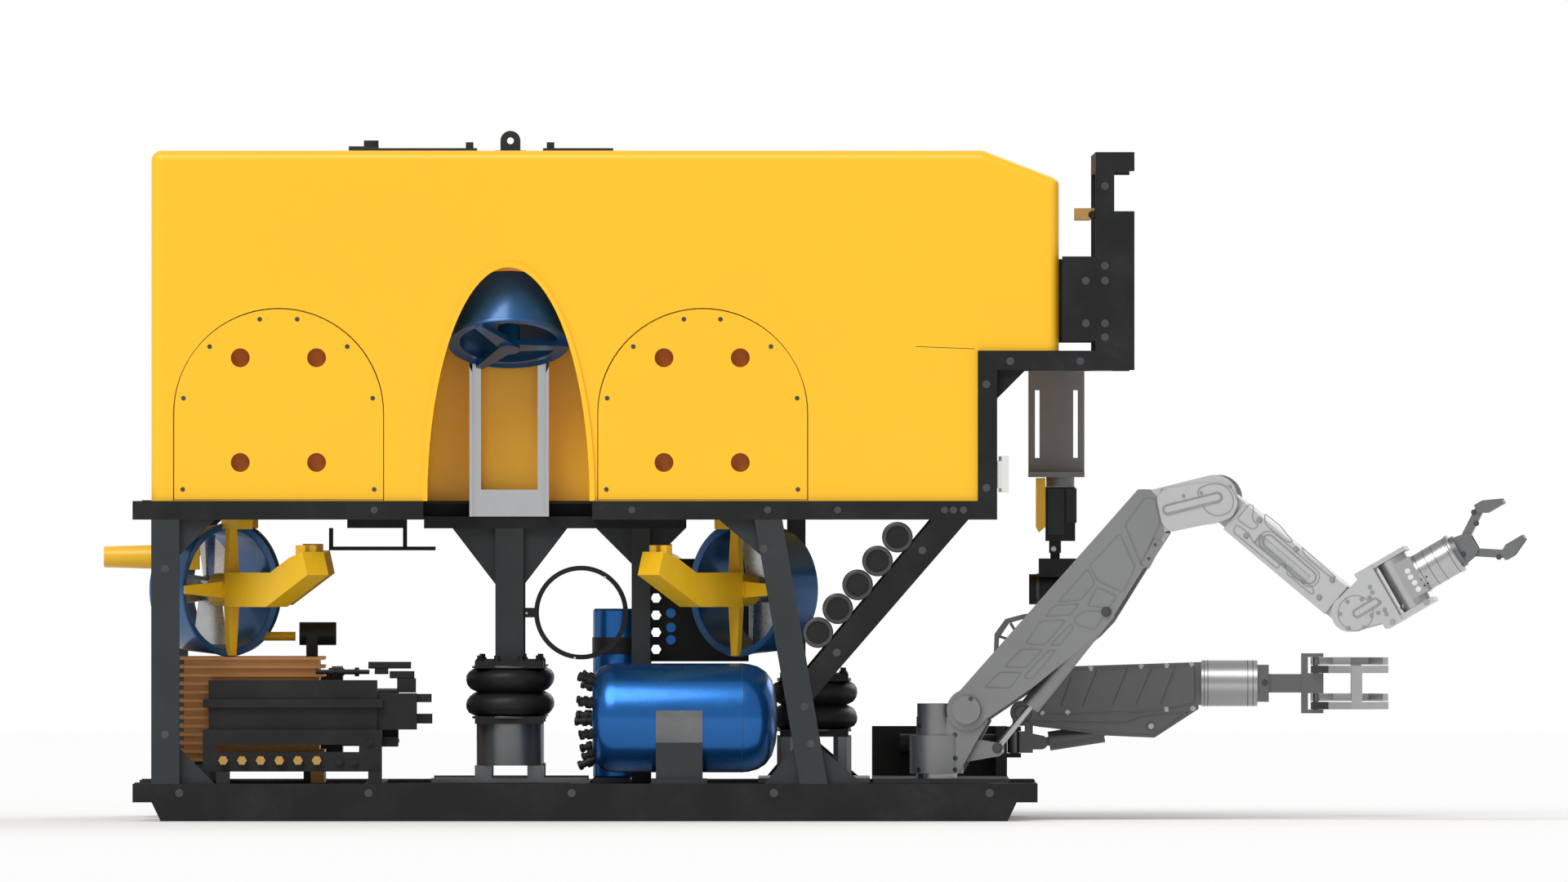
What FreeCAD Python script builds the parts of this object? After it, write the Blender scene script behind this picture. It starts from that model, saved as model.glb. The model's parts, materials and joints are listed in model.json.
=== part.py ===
import FreeCAD, Part
import os
import re
import Sketcher

# Work-class remotely operated vehicle: foam pack on an open frame, six thrusters and two manipulators.
# Millimetres. +X is forward, +Y is port, +Z is up, and Z = 0 is the underside of the skid runners.

V = FreeCAD.Vector
doc = FreeCAD.newDocument("WorkVehicle")
sheet = doc.addObject("Spreadsheet::Sheet", "Sizes")

SIZES = {
    "frame": {
        "tail_x": -1820, "half_width": 750, "rail_width": 60, "rail_height": 50,
        "runner_height": 50, "bay_height": 706, "top_rail_length": 2312, "skid_rail_length": 2420,
        "runner_tail_gap": 51, "runner_nose_gap": 56, "runner_cut": 24, "rail_wall": 8,
        "inner_beam_y": 360, "inner_beam_width": 100, "post_width": 75, "post_depth": 60,
        "rear_post_gap": 50, "centre_post_x": 1005, "inner_post_x": 1358, "front_post_x": 1775,
        "inner_post_width": 50, "front_post_y": 550,
        "arch_bay_tail": 726, "arch_bay_nose": 1279, "cross_beam_width": 50, "stub_height": 24,
        "rear_thruster_beam_at": 255, "front_thruster_beam_at": 1568, "thruster_beam_width": 60,
        "slant_top_at": 1663, "slant_foot_at": 1784, "slant_width": 74,
        "strut_foot_height": 226, "strut_top_back": 174, "strut_width": 81,
        "strut_top_width": 97, "strut_depth": 50, "skid_beam_tail_at": 120, "skid_beam_rear_at": 620,
        "skid_beam_front_at": 1170, "skid_beam_nose_back": 130, "gusset_wall": 8, "gusset_leg": 95,
        "post_gusset_wide": 115,
        "post_gusset_tall": 150,
    },
    "nose": {
        "nose_post_width": 51, "nose_beam_length": 418, "nose_beam_height": 52,
        "bumper_post_back": 314, "bumper_post_width": 50, "bumper_height": 531, "bumper_arm": 54,
        "bumper_arm_height": 51, "bumper_second_arm_drop": 158, "bumper_panel_height": 326,
        "camera_tube_back": 189, "camera_tube_width": 50, "housing_length": 89, "housing_height": 227,
        "housing_lift": 25, "lamp_height": 97, "lamp_base": 12, "lamp_face": 19, "lamp_drop": 283,
    },
    "foam": {
        "foam_tail_gap": 50, "foam_nose_length": 217, "foam_step_gap": 1, "foam_height": 937, "foam_side_y": 15,
        "foam_step_height": 402, "foam_slope_length": 200, "foam_slope_drop": 77,
        "foam_round": 28, "arch_half_width": 217, "arch_height": 625, "arch_depth": 375,
        "arch_lip": 14, "arch_lip_rise": 8, "duct_radius": 176,
        "cover_radius": 280,
        "cover_height": 513, "cover_depth": 60,
        "cover_gap": 1.5, "rear_cover_at": 340, "front_cover_at": 1475,
    },
    "deck": {
        "padeye_x": 1005, "padeye_wall": 24, "padeye_radius": 27, "padeye_bore": 9, "padeye_rise": 26,
        "padeye_base_length": 81, "padeye_base_width": 120, "padeye_base_wall": 6,
        "latch_tail_x": 570, "latch_length": 80, "latch_height": 17, "latch_width": 120,
        "tie_length": 265, "tie_height": 12, "knob_radius": 20, "knob_height": 16, "nose_tie_x": 1093,
        "nose_tie_length": 189,
    },
    "thrusters": {
        "nozzle_radius": 177, "nozzle_throat": 160, "nozzle_tail_radius": 166, "nozzle_length": 137,
        "yaw_angle": 45, "thruster_y": 280, "thruster_z": 618, "rear_thruster_x": 255,
        "front_thruster_x": 1619, "pod_radius": 44, "pod_front": 22, "fin_wide": 46,
        "fin_tip": 22, "fin_wall": 16, "motor_length": 318, "motor_half_width": 40, "motor_half_height": 46,
        "motor_rise": 86, "port_radius": 15, "port_length": 16,
        "running_gap": 0.05, "seat_gap": 0.3, "prop_hub_radius": 36,
        "prop_hub_length": 60, "prop_tip_gap": 6, "prop_at": 44, "blade_wall": 6, "blade_pitch": 32,
        "blade_chord": 92, "mount_block": 60, "mount_block_height": 26,
        "lift_nozzle_radius": 160, "lift_nozzle_throat": 132, "lift_nozzle_tail_radius": 138,
        "lift_nozzle_length": 150, "cant_angle": 23, "lift_thruster_y": 175, "lift_thruster_z": 1280,
        "lift_pod_radius": 30, "lift_pod_front": 22, "lift_hub_radius": 30, "lift_blade_chord": 84,
        "bracket_width": 213, "bracket_wall": 8,
        "bracket_flange": 52, "bracket_top": 1290, "bracket_foot": 30, "window_width": 152,
        "window_foot": 72,
    },
    "shock_mounts": {
        "bellows_radius": 116, "bellows_lobe": 62, "bellows_gap": 5,
        "mount_plate": 184, "mount_plate_wall": 20, "pedestal_radius": 88,
        "pedestal_height": 92, "foot_height": 34, "foot_width": 44,
        "base_wing_length": 418, "base_wing_wall": 12, "front_mount_x": 1823, "leg_radius": 24,
        "leg_spacing": 76, "front_base_half_length": 150, "spigot_height": 20,
        "leg_height": 110,
    },
    "equipment": {
        "cooler_tail_x": 120, "cooler_length": 390, "cooler_foot_z": 158, "cooler_height": 280,
        "cooler_half_width": 218, "cooler_y": 432, "cooler_fin_count": 13, "cooler_fin_wall": 8,
        "cooler_fin_depth": 14, "cooler_leg": 36,
        "valve_tail_x": 202, "valve_length": 451, "valve_foot_z": 244, "valve_height": 132,
        "valve_depth": 110, "valve_y": 138, "valve_band_height": 22, "valve_band_proud": 15,
        "valve_head_length": 106, "valve_head_height": 97, "manifold_tail_x": 187,
        "manifold_length": 479, "manifold_height": 112, "manifold_depth": 70, "manifold_y": 90,
        "manifold_slot_length": 383,
        "manifold_slot_height": 20, "fitting_count": 6, "fitting_pitch": 50, "fitting_radius": 10,
        "fitting_length": 24, "fitting_height": 30,
        "power_tail_x": 130, "power_length": 420, "power_radius": 128, "power_y": 420, "power_z": 270,
        "pump_radius": 78, "pump_length": 150, "power_saddle_wall": 30,
        "bottle_tail_x": 1230, "bottle_length": 405, "bottle_radius": 146, "bottle_dome": 90,
        "bottle_y": 160, "bottle_z": 275, "saddle_tail_x": 1399, "saddle_length": 125,
        "saddle_wall": 12, "saddle_base_wall": 12, "connector_count": 9,
        "connector_ring": 92, "connector_radius": 15, "connector_length": 58,
        "transformer_x": 1304,
        "transformer_y": 500, "transformer_radius": 75, "transformer_height": 454,
        "panel_tail_x": 1375, "panel_length": 272, "panel_foot_z": 424, "panel_height": 276,
        "panel_y": 535, "panel_wall": 10, "panel_hole": 14, "panel_hole_pitch": 46,
        "ring_radius": 126, "ring_wall": 13, "ring_thickness": 10, "ring_z": 556, "ring_gap": 3,
        "tray_tail_x": 517, "tray_length": 286, "tray_drop": 74, "tray_wall": 10, "tray_width": 160,
        "tray_rod": 5, "accumulator_radius": 41, "accumulator_length": 120, "accumulator_pitch": 83,
        "accumulator_first": 92, "boom_length": 190.06, "boom_tip_radius": 28, "boom_root_radius": 34,
        "boom_z": 704, "rear_camera_x": 490, "rear_camera_y": 450,
        "rear_camera_radius": 31, "rear_camera_length": 99, "rear_camera_block": 30,
    },
    "arm": {
        "arm_base_ahead": 171, "arm_base_y": 270, "arm_yaw": -8, "porch_back": 440, "porch_length": 365,
        "porch_side_y": 190, "porch_wall": 12, "slew_ring_radius": 55, "slew_ring_height": 13,
        "slew_post_radius": 34, "slew_housing_radius": 72, "slew_housing_height": 152,
        "slew_drum_height": 102, "slew_neck_radius": 54,
        "slew_cap_radius": 52, "slew_cap_height": 36, "shoulder_reach": 90, "shoulder_rise": 171,
        "cheek_inner": 32, "cheek_wall": 11, "arm_plate_wall": 12, "side_gap": 1, "shoulder_pin": 20,
        "shoulder_disc_radius": 38, "shoulder_disc_wall": 18, "arm_rise_angle": 40.4,
        "upper_arm_length": 876, "arm_crown": 151, "arm_belly": 75, "arm_root_radius": 55,
        "elbow_radius": 62, "elbow_pin": 24,
        "elbow_cover_wall": 6, "lift_pin_reach": 160, "lift_pin_drop": 107, "lift_pin_radius": 10,
        "lift_eye_radius": 19, "lift_eye_half": 12, "lift_lug_wall": 11, "lift_lug_gap": 0.5,
        "lift_rod_radius": 9, "lift_rod_length": 330, "lift_barrel_radius": 26,
        "lift_barrel_length": 330, "lift_travel": 90, "lift_barrel_at": 150, "lift_lean_angle": 51.2,
        "forearm_length": 478, "forearm_angle": -40.1, "forearm_half_height": 48, "forearm_half_width": 50,
        "forearm_shoulder": 72, "forearm_slot_length": 177, "forearm_slot_width": 30, "slot_depth": 6,
        "tongue_half": 40, "wrist_radius": 50, "wrist_pin": 18, "wrist_angle": 30,
        "wrist_body_at": 62, "wrist_body_length": 52, "yaw_gap_half": 72, "clevis_wall": 12,
        "clevis_reach": 214, "clevis_half_width": 48, "yaw_pin_at": 165, "yaw_pin_radius": 20,
        "yaw_barrel_radius": 44, "yaw_block_reach": 213, "yaw_block_half_width": 46,
        "actuator_radius": 52, "actuator_length": 111,
        "palm_radius": 44, "palm_wall": 12, "palm_fork_length": 46, "palm_fork_wall": 8,
        "palm_fork_inner": 16, "palm_half_height": 40, "finger_pivot_reach": 34, "finger_pivot_half": 26,
        "finger_pin": 6, "finger_link_length": 86, "finger_link_angle": 33, "finger_link_width": 22,
        "finger_link_half": 15, "tip_length": 74, "tip_back": 12, "tip_drop": 24, "tip_pad": 11,
    },
    "grabber": {
        "grab_y": 320, "hinge_gap": 20, "hinge_radius": 19, "hinge_block_half": 50, "hinge_lug_reach": 18,
        "hinge_pin": 12, "hinge_low_z": 160,
        "hinge_height": 84, "hinge_lug_wall": 12, "swing_reach": 21, "swing_block_at": 28,
        "swing_block_length": 22, "swing_half_width": 27, "boom_pin_z": 282, "boom_root_round": 32,
        "boom_pin_radius": 16, "boom_crown": 136, "boom_plate_wall": 12, "boom_plate_inner": 29,
        "grab_pin_ahead": 51,
        "grab_pin_drop": 81, "grab_lean_angle": 8.7, "grab_barrel_radius": 26, "grab_barrel_length": 150,
        "grab_barrel_at": 22, "grab_rod_radius": 9, "grab_rod_length": 250, "grab_travel": 45,
        "wrist_at": 484,
        "grab_wrist_lift": 79, "grab_wrist_radius": 62, "grab_wrist_length": 152, "carrier_body": 31,
        "carrier_half_height": 50, "bar_length": 88, "bar_half_height": 25, "bar_half_width": 28,
        "jaw_block_length": 60, "claw_level": 28, "jaw_block_half_width": 32,
        "claw_pivot_half": 20, "claw_wall": 20, "claw_gap": 2, "claw_radius": 96, "claw_width": 22,
        "claw_pin": 7, "porch_plate_height": 157, "slew_cylinder_radius": 27,
        "slew_cylinder_length": 260, "slew_cylinder_z": 197,
    },
    "camera": {
        "bracket_ahead": 88, "bracket_length": 151, "bracket_drop": 253, "bracket_plate_wall": 10,
        "bracket_slot_width": 12, "bracket_slot_height": 182, "bracket_slot_inset": 18,
        "shelf_drop": 20, "shelf_wall": 14, "shelf_half_width": 60, "pan_ahead": 174, "pan_cap_radius": 38,
        "pan_cap_height": 26, "pan_body_height": 146,
        "pan_body_half_length": 40, "pan_body_half_width": 38,
        "tilt_pin_ahead": 160,
        "tilt_pin_drop": 16, "tilt_pin_radius": 8, "tilt_lug_half": 10,
        "tilt_cheek_wall": 10, "tilt_neck_drop": 31, "tilt_plate_length": 112, "tilt_plate_height": 50,
        "tilt_plate_half_width": 45, "tilt_plate_tail": 44, "camera_radius": 41, "camera_length": 130,
        "camera_tail": 70,
    },
}

PLACES = {
    "strut_top_x": "tail_x + top_rail_length - strut_top_back",
    "skid_beam_nose_at": "skid_rail_length - skid_beam_nose_back",
    "porch_tail_x": "tail_x + skid_rail_length - porch_back",
    "arm_base_x": "porch_tail_x + arm_base_ahead",
    "bracket_tail_x": "tail_x + top_rail_length + bracket_ahead",
    "pan_x": "tail_x + top_rail_length + pan_ahead",
    "tilt_pin_x": "tail_x + top_rail_length + tilt_pin_ahead",
}

KNOWN = {name for group in SIZES.values() for name in group} | set(PLACES)
WORD = re.compile(r"[a-z][a-z0-9_]*")


def fill_sheet():
    """One row per size: its group, its value and its alias."""
    row = 0
    for group, values in SIZES.items():
        for name, value in values.items():
            row += 1
            sheet.set("A%d" % row, group)
            sheet.set("B%d" % row, str(value))
            sheet.setAlias("B%d" % row, name)
    for name, formula in PLACES.items():
        row += 1
        sheet.set("A%d" % row, "places")
        sheet.set("B%d" % row, "=" + formula)
        sheet.setAlias("B%d" % row, name)
    doc.recompute()


def cell(word):
    """A size ending in _x is measured forward from the tail, one ending in _y inward from the side."""
    name = word.group(0)
    if name not in KNOWN:
        return name
    if name in PLACES or name == "tail_x":
        return "Sizes." + name
    if name.endswith("_x"):
        return "(Sizes.tail_x + Sizes.%s)" % name
    if name.endswith("_y"):
        return "(Sizes.half_width - Sizes.%s)" % name
    return "Sizes." + name


def ex(text):
    """An expression in which every size is spelled as a cell of the sheet."""
    return WORD.sub(cell, str(text))


def bind(thing, prop, text):
    thing.setExpression(prop, ex(text))


# frames: text of a placement, built up as products
def move(x=0, y=0, z=0):
    return "placement(vector(%s; %s; %s); rotation(vector(0; 0; 1); 0))" % (x, y, z)


def turn(axis, angle):
    vector = {"x": "1; 0; 0", "y": "0; 1; 0", "z": "0; 0; 1"}[axis]
    return "placement(vector(0; 0; 0); rotation(vector(%s); %s))" % (vector, angle)


def chain(*frames):
    return " * ".join(frames)


AIM = {"z": None, "-z": turn("x", 180), "x": turn("y", 90), "-x": turn("y", -90), "y": turn("x", -90),
        "-y": turn("x", 90)}


def put(thing, frame):
    if frame:
        bind(thing, "Placement", frame)
    return thing


# solids
def box(name, corner, size, frame=None):
    """A box from its lowest corner and its three sides."""
    thing = doc.addObject("Part::Box", name)
    for prop, text in zip(("Length", "Width", "Height"), size):
        bind(thing, prop, text)
    at = move(*corner)
    return put(thing, chain(frame, at) if frame else at)


def slab(name, x, half_width, z, frame=None, y="0"):
    """A box between two x values and two z values, centred on y."""
    corner = (x[0], "%s - (%s)" % (y, half_width), z[0])
    size = ("(%s) - (%s)" % (x[1], x[0]), "2 * (%s)" % half_width, "(%s) - (%s)" % (z[1], z[0]))
    return box(name, corner, size, frame)


def cylinder(name, at, radius, length, aim="z", frame=None):
    thing = doc.addObject("Part::Cylinder", name)
    bind(thing, "Radius", radius)
    bind(thing, "Height", length)
    return put(thing, chain(*[f for f in (frame, move(*at), AIM[aim]) if f]))


def pin(name, at, radius, half, frame=None):
    """A cylinder along y, centred on its point."""
    x, y, z = at
    return cylinder(name, (x, "(%s) - (%s)" % (y, half), z), radius, "2 * (%s)" % half, "y", frame)


def cone(name, at, radius, end_radius, length, aim="z", frame=None):
    thing = doc.addObject("Part::Cone", name)
    bind(thing, "Radius1", radius)
    bind(thing, "Radius2", end_radius)
    bind(thing, "Height", length)
    return put(thing, chain(*[f for f in (frame, move(*at), AIM[aim]) if f]))


def nut(name, at, radius, length, aim="z", frame=None):
    thing = doc.addObject("Part::Prism", name)
    thing.Polygon = 6
    bind(thing, "Circumradius", radius)
    bind(thing, "Height", length)
    return put(thing, chain(*[f for f in (frame, move(*at), AIM[aim]) if f]))


def outline(body, points, plane):
    """A closed polygon sketch, each corner held by its distances from the origin."""
    sketch = body.newObject("Sketcher::SketchObject", "Outline")
    role = {"xz": "XZ_Plane", "xy": "XY_Plane", "yz": "YZ_Plane"}[plane]
    origin_plane = [f for f in body.Origin.OriginFeatures if f.Role == role][0]
    sketch.AttachmentSupport = [(origin_plane, "")]
    sketch.MapMode = "FlatFace"
    return draw(sketch, points)


def draw(sketch, points):
    start = [V(100, 0, 0)]
    spin = FreeCAD.Rotation(V(0, 0, 1), 360.0 / len(points))
    while len(start) < len(points):
        start.append(spin.multVec(start[-1]))
    for i, point in enumerate(start):
        sketch.addGeometry(Part.LineSegment(point, start[(i + 1) % len(start)]))
    for i in range(len(start)):
        sketch.addConstraint(Sketcher.Constraint("Coincident", i, 2, (i + 1) % len(start), 1))
    for i, texts in enumerate(points):
        for kind, text, value in zip(("DistanceX", "DistanceY"), texts, (start[i].x, start[i].y)):
            index = sketch.addConstraint(Sketcher.Constraint(kind, -1, 1, i, 1, value))
            sketch.setExpression("Constraints[%d]" % index, ex(text))
    return sketch


def plate(name, points, thickness, plane="xz", frame=None):
    """A polygon padded by half its thickness to each side of its plane."""
    body = doc.addObject("PartDesign::Body", name)
    pad = body.newObject("PartDesign::Pad", "Pad")
    pad.Profile = outline(body, points, plane)
    pad.Midplane = True
    bind(pad, "Length", thickness)
    return put(body, frame)


def spun(name, points, frame=None):
    """A polygon of (radius, height) corners turned about z."""
    body = doc.addObject("PartDesign::Body", name)
    sketch = outline(body, points, "xz")
    turned = body.newObject("PartDesign::Revolution", "Turned")
    turned.Profile = sketch
    turned.ReferenceAxis = (sketch, ["V_Axis"])
    turned.Angle = 360
    return put(body, frame)


def cut(name, base, *tools, frame=None):
    tool = tools[0] if len(tools) == 1 else group(name + "Tools", *tools)
    thing = doc.addObject("Part::Cut", name)
    thing.Base = base
    thing.Tool = tool
    return put(thing, frame)


def fuse(name, *pieces, frame=None):
    thing = doc.addObject("Part::MultiFuse", name)
    thing.Shapes = list(pieces)
    thing.Refine = True
    return put(thing, frame)


def group(name, *pieces, frame=None):
    thing = doc.addObject("Part::Compound", name)
    thing.Links = list(pieces)
    return put(thing, frame)


NODES = []


def node(label, *pieces, frame=None):
    """Names a finished sub-part, which may be a group of separate solids."""
    thing = pieces[0] if len(pieces) == 1 and not frame else group(label, *pieces, frame=frame)
    thing.Label = label
    NODES.append(thing)
    return thing


fill_sheet()

SIDES = (("Starboard", -1), ("Port", 1))
FLOOR = "(runner_height + rail_height)"
RAIL = "(runner_height + rail_height + bay_height)"
DECK = "(runner_height + 2 * rail_height + bay_height)"
RAIL_INNER = "(half_width - rail_width)"


def low_y(side, inner, outer):
    """The lower y of something between two distances from the middle plane."""
    return "-(%s)" % outer if side < 0 else "(%s)" % inner


def side_box(name, side, x, inner, outer, z):
    corner = (x[0], low_y(side, inner, outer), z[0])
    size = ("(%s) - (%s)" % (x[1], x[0]), "(%s) - (%s)" % (outer, inner), "(%s) - (%s)" % (z[1], z[0]))
    return box(name, corner, size)


def channel(name, side, x, inner, outer, z):
    """A rail open towards the middle plane, with one wall thickness all round."""
    bar = side_box(name + "Bar", side, x, inner, outer, z)
    hollow_z = ("%s + rail_wall" % z[0], "%s - rail_wall" % z[1])
    hollow = side_box(name + "Hollow", side, x, "(%s) - 1" % inner, "(%s) - rail_wall" % outer, hollow_z)
    return cut(name, bar, hollow)


# frame
def cross_beam(name, at, width, reach, z):
    return slab(name, (at, "%s + %s" % (at, width)), reach, z)


def top_frame():
    bay_tail, bay_nose = "(tail_x + arch_bay_tail)", "(tail_x + arch_bay_nose)"
    nose_end = "(tail_x + top_rail_length)"
    rail_z = (RAIL, DECK)
    parts = []
    for name, side in SIDES:
        parts.append(channel(name + "TailRail", side, ("tail_x", bay_tail), RAIL_INNER, "half_width",
                rail_z))
        parts.append(channel(name + "NoseRail", side, (bay_nose, nose_end), RAIL_INNER, "half_width",
                rail_z))
        x = ("%s + cross_beam_width" % bay_tail, "%s - cross_beam_width" % bay_nose)
        inner, outer = "inner_beam_y - post_depth / 2", "inner_beam_y + post_depth / 2"
        bar = side_box(name + "InnerBar", side, x, inner, outer, rail_z)
        hollow_z = ("%s + rail_wall" % RAIL, "%s - rail_wall" % DECK)
        hollow = side_box(name + "InnerHollow", side, x, "%s + rail_wall" % inner, "%s + 1" % outer,
                hollow_z)
        parts.append(cut(name + "InnerRail", bar, hollow))
        stub_x = (x[0], "inner_post_x + inner_post_width / 2 + gusset_leg")
        parts.append(side_box(name + "Stub", side, stub_x, inner, outer, ("%s - stub_height" % RAIL, RAIL)))
    for name, at in (("BayTailBeam", bay_tail), ("BayNoseBeam", "%s - cross_beam_width" % bay_nose)):
        parts.append(cross_beam(name, at, "cross_beam_width", "half_width", rail_z))
    parts.append(cross_beam("TailBeam", "tail_x + rear_post_gap", "cross_beam_width", RAIL_INNER, rail_z))
    parts.append(cross_beam("NoseBeam", "%s - nose_post_width" % nose_end, "nose_post_width", RAIL_INNER,
            rail_z))
    for name, at in (("RearThrusterBeam", "rear_thruster_beam_at"), ("FrontThrusterBeam",
            "front_thruster_beam_at")):
        parts.append(cross_beam(name, "tail_x + " + at, "thruster_beam_width", RAIL_INNER, rail_z))
    return node("top_frame", *parts)


SKID_BEAMS = ("skid_beam_tail_at", "skid_beam_rear_at", "skid_beam_front_at", "skid_beam_nose_at")


def skid_frame():
    parts = []
    end = "tail_x + skid_rail_length"
    z = ("runner_height", FLOOR)
    inner, outer = "inner_beam_y - inner_beam_width / 2", "inner_beam_y + inner_beam_width / 2"
    for name, side in SIDES:
        parts.append(channel(name + "SkidRail", side, ("tail_x", end), RAIL_INNER, "half_width", z))
        parts.append(side_box(name + "SkidInner", side, ("tail_x", end), inner, outer, z))
        for at in SKID_BEAMS:
            x = ("tail_x + " + at, "tail_x + %s + cross_beam_width" % at)
            parts.append(side_box(name + "SkidOuterBeam", side, x, outer, RAIL_INNER, z))
    for at in SKID_BEAMS:
        parts.append(cross_beam("SkidBeam", "tail_x + " + at, "cross_beam_width", inner, z))
    return node("skid_frame", *parts)


def skid_runners():
    """Flat runners whose ends are cut back towards the ground."""
    tail, nose = "tail_x + runner_tail_gap", "tail_x + skid_rail_length - runner_nose_gap"
    points = (
        ("%s + runner_cut" % tail, "0"),
        ("%s - runner_cut" % nose, "0"),
        (nose, "runner_height"),
        (tail, "runner_height"),
    )
    runners = []
    for name, side in SIDES:
        y = "%d * (half_width - rail_width / 2)" % side
        runners.append(plate(name + "Runner", points, "rail_width", frame=move("0", y, "0")))
    return node("skid_runners", *runners)


def gusset(name, x, y, z, along, down):
    """A triangle with its square corner at a point; its legs may run either way."""
    points = (("0", "0"), (along, "0"), ("0", down))
    return plate(name, points, "gusset_wall", frame=move(x, y, z))


MOUNT_TOP = ("(%s + base_wing_wall + foot_height + pedestal_height + spigot_height + 2 * mount_plate_wall"
             " + 2 * bellows_lobe + bellows_gap)" % FLOOR)
FRONT_MOUNT_TOP = ("(%s + base_wing_wall + leg_height + 2 * mount_plate_wall"
                   " + 2 * bellows_lobe + bellows_gap)" % FLOOR)


def slant_x(z, edge):
    """The x of one edge of the slanted post at a height; edge is 0 at the tail side, 1 at the nose side."""
    lean = "(slant_foot_at - slant_top_at) * (%s - (%s)) / bay_height" % (RAIL, z)
    return "(tail_x + slant_top_at + %s + %d * slant_width)" % (lean, edge)


def bay_posts():
    parts = []
    under_stub = "%s - stub_height" % RAIL
    rear = ("tail_x + rear_post_gap", "tail_x + rear_post_gap + post_width")
    for name, side in SIDES:
        parts.append(side_box(name + "RearPost", side, rear, RAIL_INNER, "half_width", (FLOOR, RAIL)))
        rail_y = "%d * (half_width - rail_width / 2)" % side
        parts.append(gusset(name + "RearTop", rear[1], rail_y, RAIL, "gusset_leg", "-gusset_leg"))
        parts.append(gusset(name + "RearFoot", rear[1], rail_y, FLOOR, "gusset_leg", "gusset_leg"))
        slant = ((slant_x(FLOOR, 0), FLOOR), (slant_x(FLOOR, 1), FLOOR), (slant_x(RAIL, 1), RAIL),
                 (slant_x(RAIL, 0), RAIL))
        parts.append(plate(name + "SlantPost", slant, "rail_width", frame=move("0", rail_y, "0")))
        parts.append(slant_gusset(name + "SlantTop", rail_y, RAIL, 0, -1))
        parts.append(slant_gusset(name + "SlantFootTail", rail_y, FLOOR, 0, 1))
        parts.append(slant_gusset(name + "SlantFootNose", rail_y, FLOOR, 1, 1))
        inner, outer = "inner_beam_y - post_depth / 2", "inner_beam_y + post_depth / 2"
        beam_y = "%d * inner_beam_y" % side
        centre = ("centre_post_x - post_width / 2", "centre_post_x + post_width / 2")
        parts.append(side_box(name + "CentrePost", side, centre, inner, outer, (MOUNT_TOP, under_stub)))
        wide, tall = "post_gusset_wide", "-post_gusset_tall"
        parts.append(gusset(name + "CentreTail", centre[0], beam_y, under_stub, "-" + wide, tall))
        parts.append(gusset(name + "CentreNose", centre[1], beam_y, under_stub, wide, tall))
        middle = ("inner_post_x - inner_post_width / 2", "inner_post_x + inner_post_width / 2")
        parts.append(side_box(name + "InnerPost", side, middle, inner, outer, (FLOOR, under_stub)))
        parts.append(gusset(name + "InnerTail", middle[0], beam_y, under_stub, "-gusset_leg",
                "-gusset_leg"))
        parts.append(gusset(name + "InnerNose", middle[1], beam_y, under_stub, "gusset_leg", "-gusset_leg"))
        front = ("front_post_x - inner_post_width / 2", "front_post_x + inner_post_width / 2")
        reach = ("front_post_y - inner_post_width / 2", "front_post_y + inner_post_width / 2")
        parts.append(side_box(name + "FrontPost", side, front, reach[0], reach[1], (FRONT_MOUNT_TOP, DECK)))
    return node("bay_posts", *parts)


def slant_gusset(name, y, z, edge, up):
    """A gusset whose upright leg follows the slanted post."""
    way = 1 if edge else -1
    tip = "(%s) + %d * gusset_leg" % (z, up)
    points = ((slant_x(z, edge), z), ("%s + %d * gusset_leg" % (slant_x(z, edge), way), z),
              (slant_x(tip, edge), tip))
    return plate(name, points, "gusset_wall", frame=move("0", y, "0"))


STRUT_FOOT = "(%s + strut_foot_height)" % FLOOR
STRUT_SHOULDER = "(%s + strut_foot_height + strut_width)" % FLOOR


def diagonal_struts():
    parts = []
    points = (
        (slant_x(STRUT_FOOT, 1), STRUT_FOOT),
        ("strut_top_x + strut_top_width", RAIL),
        ("strut_top_x", RAIL),
        (slant_x(STRUT_SHOULDER, 1), STRUT_SHOULDER),
    )
    for name, side in SIDES:
        y = "%d * (half_width - strut_depth / 2)" % side
        parts.append(plate(name + "Strut", points, "strut_depth", frame=move("0", y, "0")))
    return node("diagonal_struts", *parts)


NOSE_X = "(tail_x + top_rail_length - nose_post_width)"
STEP_Z = "(%s + foam_step_height)" % DECK


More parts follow.
